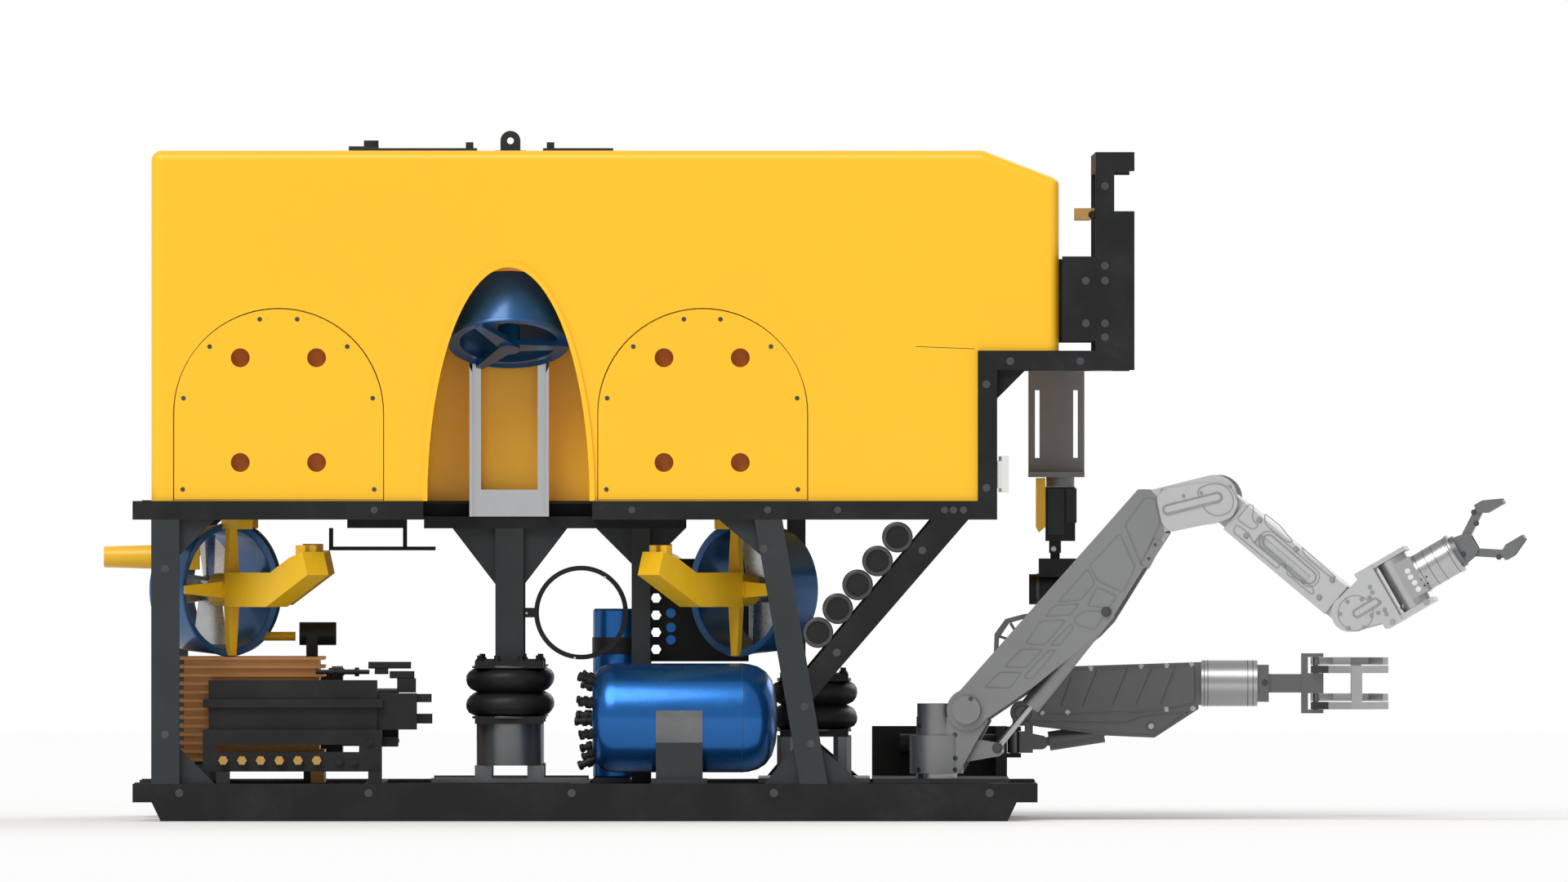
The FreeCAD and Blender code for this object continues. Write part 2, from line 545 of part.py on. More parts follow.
def front_frame():
    """Nose posts and beams, the bumper above them and the tubes across."""
    parts = []
    beam_z = ("%s - nose_beam_height" % STEP_Z, STEP_Z)
    beam_end = "(%s + nose_beam_length)" % NOSE_X
    post_x = ("(%s + bumper_post_back)" % NOSE_X, "(%s + bumper_post_back + bumper_post_width)" % NOSE_X)
    arm_x = (post_x[1], "(%s + bumper_arm)" % post_x[1])
    top = "(%s + bumper_height)" % STEP_Z
    for name, side in SIDES:
        rail_y = "%d * (half_width - rail_width / 2)" % side
        nose_post_x = (NOSE_X, "%s + nose_post_width" % NOSE_X)
        levels = (
            ("NosePost", nose_post_x, (DECK, beam_z[0])),
            ("NoseSideBeam", (NOSE_X, beam_end), beam_z),
            ("BumperPost", post_x, (STEP_Z, top)),
            ("BumperTopArm", arm_x, ("%s - bumper_arm_height" % top, top)),
            ("BumperPanel", arm_x, (STEP_Z, "%s + bumper_panel_height" % STEP_Z)),
        )
        for part, x, z in levels:
            parts.append(side_box(name + part, side, x, RAIL_INNER, "half_width", z))
        parts.append(gusset(name + "NoseGusset", nose_post_x[1], rail_y, beam_z[0], "0.8 * gusset_leg",
                            "-0.8 * gusset_leg"))
        foot = "%s + housing_lift" % STEP_Z
        parts.append(side_box(name + "Housing", side, ("%s - housing_length" % post_x[0], post_x[0]),
                              RAIL_INNER, "half_width", (foot, "%s + housing_height" % foot)))
        second = "%s - bumper_second_arm_drop" % top
        parts.append(side_box(name + "BumperSecondArm", side, arm_x, RAIL_INNER, "half_width",
                              ("%s + bumper_panel_height" % STEP_Z, second)))
    parts.append(slab("NoseTube", post_x, RAIL_INNER, beam_z))
    parts.append(slab("BumperTube", post_x, RAIL_INNER, ("%s - bumper_arm_height" % top, top)))
    camera_x = ("%s + camera_tube_back" % NOSE_X, "%s + camera_tube_back + camera_tube_width" % NOSE_X)
    parts.append(slab("CameraTube", camera_x, RAIL_INNER, beam_z))
    return node("front_frame", *parts)


def flood_lamps():
    parts = []
    x = "%s + nose_post_width" % NOSE_X
    z = "%s - lamp_drop" % STEP_Z
    for name, side in SIDES:
        inner, outer = "%s + 4" % RAIL_INNER, "half_width - 4"
        base = side_box(name + "LampBase", side, (x, "%s + lamp_base" % x), inner, outer,
                        ("%s - lamp_height + 12" % z, "%s - 12" % z))
        face = side_box(name + "LampFace", side, ("%s + lamp_base" % x, "%s + lamp_base + lamp_face" % x),
                        RAIL_INNER, "half_width", ("%s - lamp_height" % z, z))
        parts.append(fuse(name + "Lamp", base, face))
    return node("flood_lamps", *parts)


# foam
FOAM_X = "(tail_x + foam_tail_gap)"


def lift_axis(side):
    """A frame at the mouth of an upright thruster: z points out of the mouth, down and outwards."""
    return chain(move("centre_post_x", "%d * lift_thruster_y" % side, "lift_thruster_z"),
                 turn("x", "%d * (cant_angle - 180)" % side))


def arch_tool(name, side, wide, tall, start, depth):
    """Half an oval standing on the deck, cut from a side; the other half is below the foam."""
    oval = doc.addObject("Part::Ellipse", name + "Oval")
    bind(oval, "MajorRadius", tall)
    bind(oval, "MinorRadius", wide)
    solid = doc.addObject("Part::Extrusion", name)
    solid.Base = oval
    solid.DirMode = "Custom"
    solid.Dir = V(0, 0, 1)
    solid.Solid = True
    bind(solid, "LengthFwd", depth)
    y = "%d * (%s)" % (side, start)
    return put(solid, chain(move("centre_post_x", y, DECK), turn("x", "%d * 90" % -side), turn("z", 90)))


def cover_solid(name, side, at, radius, height, inner, outer):
    """A D-shaped slab: a half disc on top of a box, standing on the deck."""
    x = "(%s + %s)" % (FOAM_X, at)
    y0 = low_y(side, inner, outer)
    depth = "(%s) - (%s)" % (outer, inner)
    waist = "(%s - %s)" % (height, radius)
    disc = cylinder(name + "Disc", ("0", "0", "0"), radius, depth,
                    frame=chain(move(x, y0, "%s + %s" % (DECK, waist)), turn("x", -90), turn("z", 180)))
    disc.Angle = 180
    block = box(name + "Block", ("%s - %s" % (x, radius), y0, DECK), ("2 * %s" % radius, depth, waist))
    return fuse(name, disc, block)


COVERS = (("Rear", "rear_cover_at"), ("Front", "front_cover_at"))


def access_covers():
    parts = []
    for name, side in SIDES:
        for end, at in COVERS:
            label = name + end + "Cover"
            parts.append(cover_solid(label, side, at, "cover_radius", "cover_height",
                                     "foam_side_y - cover_depth", "foam_side_y"))
    return node("access_covers", *parts)


def foam_pack():
    """One block with a stepped nose, a duct for each upright thruster and an arch on each side."""
    step = "(tail_x + top_rail_length - nose_post_width - foam_step_gap)"
    length = "(%s + foam_nose_length)" % step
    top = "(%s + foam_height)" % DECK
    points = (
        (FOAM_X, DECK), (step, DECK), (step, STEP_Z), (length, STEP_Z),
        (length, "%s - foam_slope_drop" % top), ("%s - foam_slope_length" % length, top), (FOAM_X, top),
    )
    block = plate("FoamBlock", points, "2 * foam_side_y")
    doc.recompute()
    pad = block.Tip
    rounded = block.newObject("PartDesign::Fillet", "Rounded")
    rounded.Base = (pad, rounded_edges(pad.Shape))
    bind(rounded, "Radius", "foam_round")
    tools = []
    lips = []
    for name, side in SIDES:
        inner, outer = "foam_side_y - arch_depth", "foam_side_y + arch_lip_rise + 1"
        tools.append(arch_tool(name + "Arch", side, "arch_half_width", "arch_height", inner,
                               "%s - (%s)" % (outer, inner)))
        tools.append(cylinder(name + "Duct", ("0", "0", "-foam_height"), "duct_radius",
                              "foam_height + lift_nozzle_radius / 4", frame=lift_axis(side)))
        lips.append(arch_tool(name + "Lip", side, "(arch_half_width + arch_lip)",
                "(arch_height + arch_lip)",
                              "foam_side_y - arch_lip", "arch_lip + arch_lip_rise"))
        for end, at in COVERS:
            tools.append(cover_solid(name + end + "Recess", side, at, "(cover_radius + cover_gap)",
                                     "(cover_height + cover_gap)",
                                     "foam_side_y - cover_depth - cover_gap", "foam_side_y + 1"))
    tools.append(slab("BelowDeck", ("tail_x", "tail_x + top_rail_length"), "half_width + rail_width",
                      ("%s - arch_height - 2 * arch_lip" % DECK, DECK)))
    return node("foam_pack", cut("FoamPack", fuse("FoamLipped", block, *lips), *tools))


def rounded_edges(shape):
    """Names of the foam block's outer edges: all but those of its underside and its step."""
    low = shape.BoundBox.ZMin + 1
    nose = shape.BoundBox.XMax - 1
    step = shape.BoundBox.ZMin + SIZES["foam"]["foam_step_height"] + 1
    names = []
    for index, edge in enumerate(shape.Edges, 1):
        box_of_edge = edge.BoundBox
        on_step = box_of_edge.XMax > nose - SIZES["foam"]["foam_nose_length"] and box_of_edge.ZMax < step
        if box_of_edge.ZMin > low and not on_step:
            names.append("Edge%d" % index)
        elif box_of_edge.ZMax > shape.BoundBox.ZMax - 1:
            names.append("Edge%d" % index)
    return names


# deck
ROOF = "(%s + foam_height)" % DECK


def deck_gear():
    """The lifting eye, and the latches and tie plates beside it."""
    base = slab("EyeBase", ("padeye_x - padeye_base_length / 2", "padeye_x + padeye_base_length / 2"),
                "padeye_base_width / 2", (ROOF, "%s + padeye_base_wall" % ROOF))
    eye_z = "%s + padeye_base_wall + padeye_rise" % ROOF
    stem = slab("EyeStem", ("padeye_x - padeye_radius", "padeye_x + padeye_radius"), "padeye_wall / 2",
                (ROOF, eye_z))
    disc = pin("EyeDisc", ("padeye_x", "0", eye_z), "padeye_radius", "padeye_wall / 2")
    bore = pin("EyeBore", ("padeye_x", "0", eye_z), "padeye_bore", "padeye_wall")
    eye = cut("LiftingEye", fuse("EyeBody", base, stem, disc), bore)
    latch_end = "(latch_tail_x + latch_length)"
    latch = slab("Latch", ("latch_tail_x", latch_end), "latch_width / 2",
            (ROOF, "%s + latch_height" % ROOF))
    knob = cylinder("LatchKnob", ("%s - knob_radius" % latch_end, "0", "%s + latch_height" % ROOF),
                    "knob_radius", "knob_height")
    tie = slab("TailTie", (latch_end, "%s + tie_length" % latch_end), "latch_width / 2",
               (ROOF, "%s + tie_height" % ROOF))
    nose_tie = slab("NoseTie", ("nose_tie_x", "nose_tie_x + nose_tie_length"), "latch_width / 2",
                    (ROOF, "%s + tie_height" % ROOF))
    bolts = []
    for x in ("%s + tie_length - knob_radius" % latch_end, "nose_tie_x + knob_radius"):
        for y in ("-latch_width / 3", "latch_width / 3"):
            bolts.append(nut("TieBolt", (x, y, "%s + tie_height" % ROOF), "knob_radius / 2", "knob_height"))
    return node("deck_gear", eye, fuse("LatchBody", latch, knob, tie), nose_tie, *bolts)


# thrusters
def yaw_axis(x, side, end):
    """A frame at a nozzle's mouth: z points out of the mouth and x points up."""
    angle = "%d * (90 - %d * yaw_angle)" % (side, end)
    return chain(move(x, "%d * thruster_y" % side, "thruster_z"), turn("z", angle), turn("y", 90),
            turn("z", 180))


HORIZONTALS = [
    (end_name + "_" + side_name.lower(), yaw_axis(x, side, end))
    for end_name, x, end in (("rear", "rear_thruster_x", 1), ("front", "front_thruster_x", -1))
    for side_name, side in SIDES
]
UPRIGHTS = [("vertical_" + name.lower(), lift_axis(side)) for name, side in SIDES]


def nozzle(name, mouth, throat, tail, length, frame):
    """A duct that tapers towards its tail outside and is straight inside."""
    points = ((throat, "0"), (mouth, "0"), (tail, "-" + length), (throat, "-" + length))
    return spun(name, points, frame)


def thruster_nozzles():
    parts = [nozzle("Nozzle", "nozzle_radius", "nozzle_throat", "nozzle_tail_radius", "nozzle_length", frame)
             for _, frame in HORIZONTALS]
    parts += [nozzle("LiftNozzle", "lift_nozzle_radius", "lift_nozzle_throat", "lift_nozzle_tail_radius",
                     "lift_nozzle_length", frame) for _, frame in UPRIGHTS]
    return node("thruster_nozzles", *parts)


def pod(name, radius, front):
    """The hub in a nozzle, between the propeller and the fins."""
    return cylinder(name, ("0", "0", "seat_gap - prop_at"), radius, "prop_at - seat_gap + %s" % front)


def fin(name, angle, root, reach):
    """A tapered strut across the mouth, from the hub to the rim or past it."""
    points = (("-fin_wide / 2", root), ("fin_wide / 2", root), ("fin_tip / 2", reach), ("-fin_tip / 2",
            reach))
    return plate(name, points, "fin_wall", "xy",
                 chain(move("0", "0", "fin_wall / 2"), turn("z", angle), turn("z", -90)))


def motor_block(name):
    """The drive in front of the hub: level, then bent upwards to its two hose ports."""
    low, high, start = "-motor_half_height", "motor_half_height", "pod_front"
    end = "(pod_front + motor_length)"
    points = (
        (low, start), (low, "pod_front + 0.5 * motor_length"), ("motor_rise - motor_half_height", end),
        ("motor_rise + port_length", "pod_front + 0.94 * motor_length"),
        ("motor_rise", "pod_front + 0.78 * motor_length"), (high, "pod_front + 0.55 * motor_length"),
        (high, start),
    )
    return plate(name, points, "2 * motor_half_width")


def horizontal_motors():
    parts = []
    rise = "(%s - thruster_z)" % RAIL
    for _, frame in HORIZONTALS:
        block = box("MountBlock", ("%s - mount_block_height" % rise, "-mount_block / 2", "0"),
                    ("mount_block_height", "mount_block", "mount_block"))
        ports = [nut("Port", ("motor_rise + port_length / 2", y, "pod_front + 0.86 * motor_length"),
                     "port_radius", "1.6 * port_length", "x")
                 for y in ("-0.5 * motor_half_width", "0.5 * motor_half_width")]
        fins = [fin("Fin", angle, "pod_radius / 2", reach) for angle, reach in (
            ("0", rise), ("180", "nozzle_radius"), ("90", "nozzle_radius"), ("-90", "nozzle_radius"))]
        parts.append(fuse("Motor", pod("Pod", "pod_radius", "pod_front"), motor_block("Drive"), block,
                *ports,
                          *fins, frame=frame))
    return node("horizontal_thruster_motors", *parts)


def vertical_motors():
    parts = []
    for _, frame in UPRIGHTS:
        fins = [fin("Fin", angle, "lift_pod_radius / 2", "lift_nozzle_radius") for angle in ("0", "120",
                "240")]
        parts.append(fuse("LiftMotor", pod("LiftPod", "lift_pod_radius", "lift_pod_front"), *fins,
                frame=frame))
    return node("vertical_thruster_motors", *parts)


def blade(name, index, count, tip, chord):
    """A flat blade, wider at its tip and set at an angle to the shaft."""
    points = (("0", "-0.31 * " + chord), (tip, "-0.5 * " + chord), (tip, "0.5 * " + chord),
            ("0", "0.31 * " + chord))
    middle = "-prop_at - prop_hub_length / 2"
    return plate(name, points, "blade_wall", "xy",
                 chain(move("0", "0", middle), turn("z", "%d * 360 / %d" % (index, count)),
                 turn("x", "blade_pitch")))


def propeller(label, frame, hub, throat, chord, count):
    tip = "sqrt(pow(%s - prop_tip_gap; 2) - pow(%s / 2; 2))" % (throat, chord)
    blades = [blade("Blade", i, count, tip, chord) for i in range(count)]
    tail = "-prop_at - prop_hub_length"
    nose = cone("PropNose", ("0", "0", tail), hub, "0.35 * " + hub, "0.5 * " + hub, "-z")
    hub_part = cylinder("PropHub", ("0", "0", tail), hub, "prop_hub_length")
    return node(label, fuse("Propeller", hub_part, nose, *blades, frame=frame))


def propellers():
    for name, frame in HORIZONTALS:
        propeller("propeller_" + name, frame, "prop_hub_radius", "nozzle_throat", "blade_chord", 4)
    for name, frame in UPRIGHTS:
        propeller("propeller_" + name, frame, "lift_hub_radius", "lift_nozzle_throat", "lift_blade_chord",
                3)


def vertical_brackets():
    """A flanged sheet bolted to the inner rail, with a window; its top is cut to seat the nozzle."""
    parts = []
    top = "bracket_top"
    for name, side in SIDES:
        back = "(inner_beam_y + post_depth / 2)"
        wall = ("%s + bracket_wall" % back)
        x = ("centre_post_x - bracket_width / 2", "centre_post_x + bracket_width / 2")
        low = "(%s + rail_wall)" % RAIL
        sheet_part = side_box(name + "Sheet", side, x, back, wall, (low, top))
        flanges = [side_box(name + "Flange", side, span, wall, "%s + bracket_flange" % back,
                (low, "%s - 0.1 * bracket_width" % top))
                   for span in ((x[0], "%s + bracket_wall" % x[0]), ("%s - bracket_wall" % x[1], x[1]))]
        window = side_box(name + "Window", side,
                          ("centre_post_x - window_width / 2", "centre_post_x + window_width / 2"),
                          "%s - 1" % back, "%s + 1" % wall, ("%s + window_foot" % low,
                          "%s + bracket_width" % top))
        seat = cone(name + "Seat", ("0", "0", "-lift_nozzle_length - seat_gap"),
                    "lift_nozzle_tail_radius + seat_gap", "lift_nozzle_radius + seat_gap",
                    "lift_nozzle_length + seat_gap", frame=lift_axis(side))
        mouth = cylinder(name + "Mouth", ("0", "0", "0"), "lift_nozzle_radius + seat_gap",
                         "lift_nozzle_length", frame=lift_axis(side))
        parts.append(cut(name + "Bracket", fuse(name + "BracketBlank", sheet_part, *flanges), window, seat,
                mouth))
    return node("vertical_thruster_brackets", *parts)


# shock mounts
def bellows(name, x, y, z):
    """A plain rubber drum; its rolls are soft."""
    return cylinder(name, (x, y, z), "bellows_radius", "2 * bellows_lobe + bellows_gap")


def shock_mounts():
    rubber, metal = [], []
    roll = "2 * bellows_lobe + bellows_gap"
    half = "mount_plate / 2"
    for name, side in SIDES:
        for end, x, y, legs in (("Rear", "centre_post_x", "inner_beam_y",
                "pedestal_height + foot_height + spigot_height"),
                                ("Front", "front_mount_x", "front_post_y", "leg_height")):
            yy = "%d * %s" % (side, y)
            base = FLOOR + " + base_wing_wall"
            low = "(%s + %s)" % (base, legs)
            span = ("%s - %s" % (x, half), "%s + %s" % (x, half))
            lower = slab(name + end + "Lower", span, half, (low, "%s + mount_plate_wall" % low), y=yy)
            start = "(%s + mount_plate_wall)" % low
            rubber.append(bellows(name + end + "Bellows", x, yy, start))
            above = "(%s + %s)" % (start, roll)
            metal.append(slab(name + end + "Upper", span, half, (above, "%s + mount_plate_wall" % above),
                    y=yy))
            if end == "Rear":
                metal.append(fuse(name + "Pedestal", lower, *pedestal(name, yy, base)))
            else:
                metal.append(fuse(name + "Stand", lower, *stand(name, yy, base)))
    metal.append(slab("FrontBase", ("front_mount_x - front_base_half_length",
            "front_mount_x + front_base_half_length"),
                      "inner_beam_y", (FLOOR, "%s + base_wing_wall" % FLOOR)))
    node("shock_bellows", *rubber)
    return node("shock_mount_stands", *metal)


def pedestal(name, y, base):
    """A round pedestal on two feet."""
    pipe_z = "(%s + foot_height)" % base
    outer = cylinder(name + "Pipe", ("centre_post_x", y, pipe_z), "pedestal_radius",
            "pedestal_height + spigot_height")
    feet = [slab(name + "Foot", ("centre_post_x + %s - foot_width / 2" % at,
            "centre_post_x + %s + foot_width / 2" % at),
                 "inner_beam_width / 2", (base, pipe_z), y=y) for at in ("-0.8 * pedestal_radius",
                 "0.8 * pedestal_radius")]
    wing = slab(name + "Wing", ("centre_post_x - base_wing_length / 2",
            "centre_post_x + base_wing_length / 2"),
                "inner_beam_width / 2", (FLOOR, base), y=y)
    return [outer, wing] + feet


def stand(name, y, base):
    return [nut(name + "Leg", ("front_mount_x + %d * leg_spacing" % dx, "%s + %d * leg_spacing" % (y, dy),
            base),
                     "leg_radius", "leg_height") for dx in (-1, 1) for dy in (-1, 1)]


# equipment in the bays
def oil_cooler():
    """A finned block on four legs."""
    x = ("cooler_tail_x", "cooler_tail_x + cooler_length")
    z = ("cooler_foot_z", "cooler_foot_z + cooler_height")
    core = slab("CoolerCore", ("%s + cooler_fin_depth" % x[0], "%s - cooler_fin_depth" % x[1]),
                "cooler_half_width - cooler_fin_depth", z, y="-cooler_y")
    pitch = "(cooler_height - cooler_fin_wall) / (cooler_fin_count - 1)"
    fins = []
    for i in range(SIZES["equipment"]["cooler_fin_count"]):
        low = "cooler_foot_z + %d * %s" % (i, pitch)
        fins.append(slab("CoolerFin", x, "cooler_half_width", (low, "%s + cooler_fin_wall" % low),
                y="-cooler_y"))
    legs = []
    for start in (x[0], "%s - cooler_leg" % x[1]):
        legs.append(slab("CoolerLeg", (start, "%s + cooler_leg" % start), "cooler_half_width",
                         (FLOOR, "cooler_foot_z + cooler_fin_wall"), y="-cooler_y"))
    return node("oil_cooler", fuse("Cooler", core, *fins, *legs))


def valve_pack():
    """The valve box with its flange band, its end block and the manifold below it."""
    x = ("valve_tail_x", "valve_tail_x + valve_length")
    z = ("valve_foot_z", "valve_foot_z + valve_height")
    y = "-valve_y"
    case = slab("ValveCase", x, "valve_depth / 2", z, y=y)
    band_z = "valve_foot_z + 0.45 * valve_height"
    band = slab("ValveBand", ("%s - valve_band_proud" % x[0], "%s + valve_band_proud" % x[1]),
                "valve_depth / 2 + valve_band_proud", (band_z, "%s + valve_band_height" % band_z), y=y)
    head = slab("ValveHead", (x[1], "%s + valve_head_length" % x[1]), "0.4 * valve_depth",
                (z[0], "valve_foot_z + valve_head_height"), y=y)
    block = slab("Manifold", ("manifold_tail_x", "manifold_tail_x + manifold_length"), "manifold_depth / 2",
                 ("valve_foot_z - manifold_height", "valve_foot_z"), y="-manifold_y")
    slot = slab("ManifoldSlot", ("valve_tail_x + 20", "valve_tail_x + 20 + manifold_slot_length"),
            "manifold_depth",
                ("valve_foot_z - 40 - manifold_slot_height", "valve_foot_z - 40"), y="-manifold_y")
    feet = []
    for at in ("manifold_tail_x + cooler_leg", "manifold_tail_x + manifold_length - cooler_leg"):
        feet.append(box("ManifoldFoot", (at, "-(half_width - rail_wall)", FLOOR),
                        ("cooler_leg", "half_width - rail_wall - manifold_y + manifold_depth / 2",
                         "valve_foot_z - manifold_height - %s" % FLOOR)))
    return node("valve_pack", fuse("ValvePack", case, band, head, cut("SlottedManifold", block, slot),
            *feet))


def manifold_fittings():
    """Six-sided hose fittings along the manifold's face."""
    parts = []
    face = "-(manifold_y + manifold_depth / 2)"
    z = "valve_foot_z - manifold_height + fitting_height"
    for i in range(SIZES["equipment"]["fitting_count"]):
        x = "manifold_tail_x + 1.1 * fitting_pitch + %d * fitting_pitch" % i
        body = nut("FittingNut", (x, face, z), "1.3 * fitting_radius", "fitting_length", "-y")
        parts.append(body)
    return node("manifold_fittings", *parts)


def power_unit():
    """The electric motor with its pump, lying on two saddles on the port side."""
    y, z = "power_y", "power_z"
    motor = cylinder("PowerMotor", ("power_tail_x", y, z), "power_radius", "power_length", "x")
    pump = cylinder("Pump", ("power_tail_x + power_length", y, z), "pump_radius", "pump_length", "x")
    ring = cylinder("PowerFlange", ("power_tail_x + power_length - power_saddle_wall", y, z),
            "1.08 * power_radius",
                    "power_saddle_wall", "x")
    saddles = []
    for share in ("0.15", "0.75"):
        at = "power_tail_x + %s * power_length" % share
        saddles.append(slab("PowerSaddle", (at, "%s + power_saddle_wall" % at), "power_radius", (FLOOR, z),
                y=y))
    return node("hydraulic_power_unit", fuse("PowerUnit", motor, pump, ring, *saddles))


def pressure_bottles():
    """The lying bottle with a flat cap and a domed end, and the upright one behind it."""
    points = (
        ("0", "0"), ("bottle_radius", "0"), ("bottle_radius", "bottle_length"),
        ("0.8 * bottle_radius", "bottle_length + 0.7 * bottle_dome"),
        ("0.3 * bottle_radius", "bottle_length + bottle_dome"), ("0", "bottle_length + bottle_dome"),
    )
    lying = spun("Bottle", points, chain(move("bottle_tail_x", "-bottle_y", "bottle_z"), turn("y", 90)))
    foot = FLOOR + " + base_wing_wall"
    standing = cylinder("Transformer", ("transformer_x", "-transformer_y", foot), "transformer_radius",
                        "transformer_height")
    return node("pressure_bottles", lying, standing)


def bottle_saddle():
    """A cradle cut to the lying bottle, and the plate under the upright one."""
    x = ("saddle_tail_x", "saddle_tail_x + saddle_length")
    y = "-bottle_y"
    cradle = slab("Cradle", x, "bottle_radius - saddle_wall", (FLOOR, "bottle_z - 0.3 * bottle_radius"),
            y=y)
    base = slab("CradleBase", ("%s - saddle_wall" % x[0], "%s + saddle_wall" % x[1]), "bottle_radius",
                (FLOOR, "%s + saddle_base_wall" % FLOOR), y=y)
    bottle = cylinder("CradleSeat", ("%s - saddle_length" % x[0], y, "bottle_z"),
            "bottle_radius + seat_gap",
                      "3 * saddle_length", "x")
    cradle_cut = cut("SaddleCut", fuse("SaddleBlank", cradle, base), bottle)
    shelf = slab("TransformerBase", ("transformer_x - transformer_radius",
            "transformer_x + 0.33 * transformer_radius"),
                 "inner_beam_y - post_depth / 2 - 2", (FLOOR, FLOOR + " + base_wing_wall"))
    return node("bottle_saddles", cradle_cut, shelf)


def bottle_connectors():
    """Cable glands round the bottle's flat cap, splayed outwards."""
    parts = []
    count = SIZES["equipment"]["connector_count"]
    for i in range(count):
        frame = chain(move("bottle_tail_x - seat_gap", "-bottle_y", "bottle_z"),
                turn("x", "%d * 360 / connector_count" % i),
                      move("0", "0", "connector_ring"), turn("y", -90))
        parts.append(nut("Gland", ("0", "0", "0"), "connector_radius", "connector_length", frame=frame))
    return node("bottle_connectors", *parts)


def terminal_panel():
    """A drilled panel hanging from the beam of the front thrusters by two straps."""
    x = ("panel_tail_x", "panel_tail_x + panel_length")
    z = ("panel_foot_z", "panel_foot_z + panel_height")
    sheet_part = slab("PanelSheet", x, "panel_wall / 2", z, y="-panel_y")
    holes = []
    for row in range(5):
        spot = ("panel_tail_x + panel_hole_pitch / 2", "-panel_y - panel_wall",
                "panel_foot_z + panel_hole_pitch * %s" % (row + 0.7))
        holes.append(nut("PanelHole", spot, "panel_hole", "2 * panel_wall", "y"))
    strap_x = "tail_x + front_thruster_beam_at"
    strap = slab("PanelStrap", (strap_x, "%s + thruster_beam_width" % strap_x), "panel_wall / 2",
            (z[1], RAIL), y="-panel_y")
    return node("terminal_panel", fuse("Panel", cut("DrilledPanel", sheet_part, *holes), strap))


def bay_hangers():
    """The hose ring on the centre post and the tray hanging on four rods."""
    post_x = "centre_post_x + post_width / 2"
    y = "-inner_beam_y"
    centre = ("%s + ring_gap + ring_radius + 2 * ring_wall" % post_x, y, "ring_z")
    disc = pin("RingDisc", centre, "ring_radius", "ring_thickness / 2")
    hole = pin("RingHole", centre, "ring_radius - ring_wall", "ring_thickness")
    tab = slab("RingTab", (post_x, "%s + 4 * ring_wall" % post_x), "ring_thickness / 2",
            ("ring_z - ring_wall", "ring_z + ring_wall"), y=y)
    ring = cut("HoseRing", fuse("RingBlank", disc, tab), hole)
    tray_x = ("tray_tail_x", "tray_tail_x + tray_length")
    top = "(%s - tray_drop)" % RAIL
    tray = slab("Tray", tray_x, "tray_width / 2", ("%s - tray_wall" % top, top))
    bar = slab("TrayBar", ("tail_x + arch_bay_tail - tray_width", "tail_x + arch_bay_tail"),
            "tray_width / 2",
               ("%s - stub_height" % RAIL, RAIL))
    rods = [slab("TrayRod", (at, "%s + 2 * tray_rod" % at), "tray_rod", (top, "%s - stub_height" % RAIL),
            y=dy)
            for at in (tray_x[0], "tail_x + arch_bay_tail - 2 * tray_rod")
            for dy in ("-0.4 * tray_width", "0.4 * tray_width")]
    return node("bay_hangers", ring, fuse("HangingTray", tray, bar, *rods))


def accumulators():
    """Five bottles lying across the upper edge of the starboard strut."""
    run = "(strut_top_x - %s)" % slant_x(STRUT_SHOULDER, 1)
    rise = "(%s - %s)" % (RAIL, STRUT_SHOULDER)
    length = "sqrt(pow(%s; 2) + pow(%s; 2))" % (run, rise)
    parts = []
    for i in range(5):
        along = "(accumulator_first + %d * accumulator_pitch)" % i
        off = "(accumulator_radius + seat_gap)"
        x = "%s + (%s * %s - %s * %s) / %s" % (slant_x(STRUT_SHOULDER, 1), run, along, rise, off, length)
        z = "%s + (%s * %s + %s * %s) / %s" % (STRUT_SHOULDER, rise, along, run, off, length)
        parts.append(cylinder("Accumulator", (x, "3 - half_width", z), "accumulator_radius",
                              "accumulator_length", "y"))
    return node("accumulator_bottles", *parts)


def tail_boom():
    """A tapered boom behind the frame, hung from the tail beam."""
    root = "tail_x + rear_post_gap + cross_beam_width"
    cone_part = cone("BoomCone", (root, "0", "boom_z"), "boom_root_radius", "boom_tip_radius",
            "boom_length", "-x")
    hanger = slab("BoomHanger", (root, "%s + 2 * boom_root_radius" % root), "boom_root_radius",
            ("boom_z - boom_root_radius", RAIL))
    return node("tail_boom", fuse("Boom", cone_part, hanger))


def rear_camera():
    """A small camera on a block that stands on the cooler."""
    roof = "(cooler_foot_z + cooler_height)"
    x, y, z = "rear_camera_x", "-rear_camera_y", "(%s + rear_camera_block + rear_camera_radius)" % roof
    block = slab("CameraBlock", ("%s - rear_camera_radius" % x, "%s + 0" % x), "rear_camera_radius",
                 (roof, z), y=y)
    body = cylinder("RearCameraBody", ("%s - rear_camera_length / 2" % x, y, z), "rear_camera_radius",
                    "rear_camera_length", "x")
    return node("rear_camera", fuse("RearCamera", block, body))


# manipulator porch
PORCH_TOP = "(%s + porch_wall)" % FLOOR
PORCH_END = "(porch_tail_x + porch_length)"
HINGE_X = "(%s + hinge_gap)" % PORCH_END
LUG_LEVELS = ("hinge_low_z", "(hinge_low_z + hinge_height - hinge_lug_wall)")


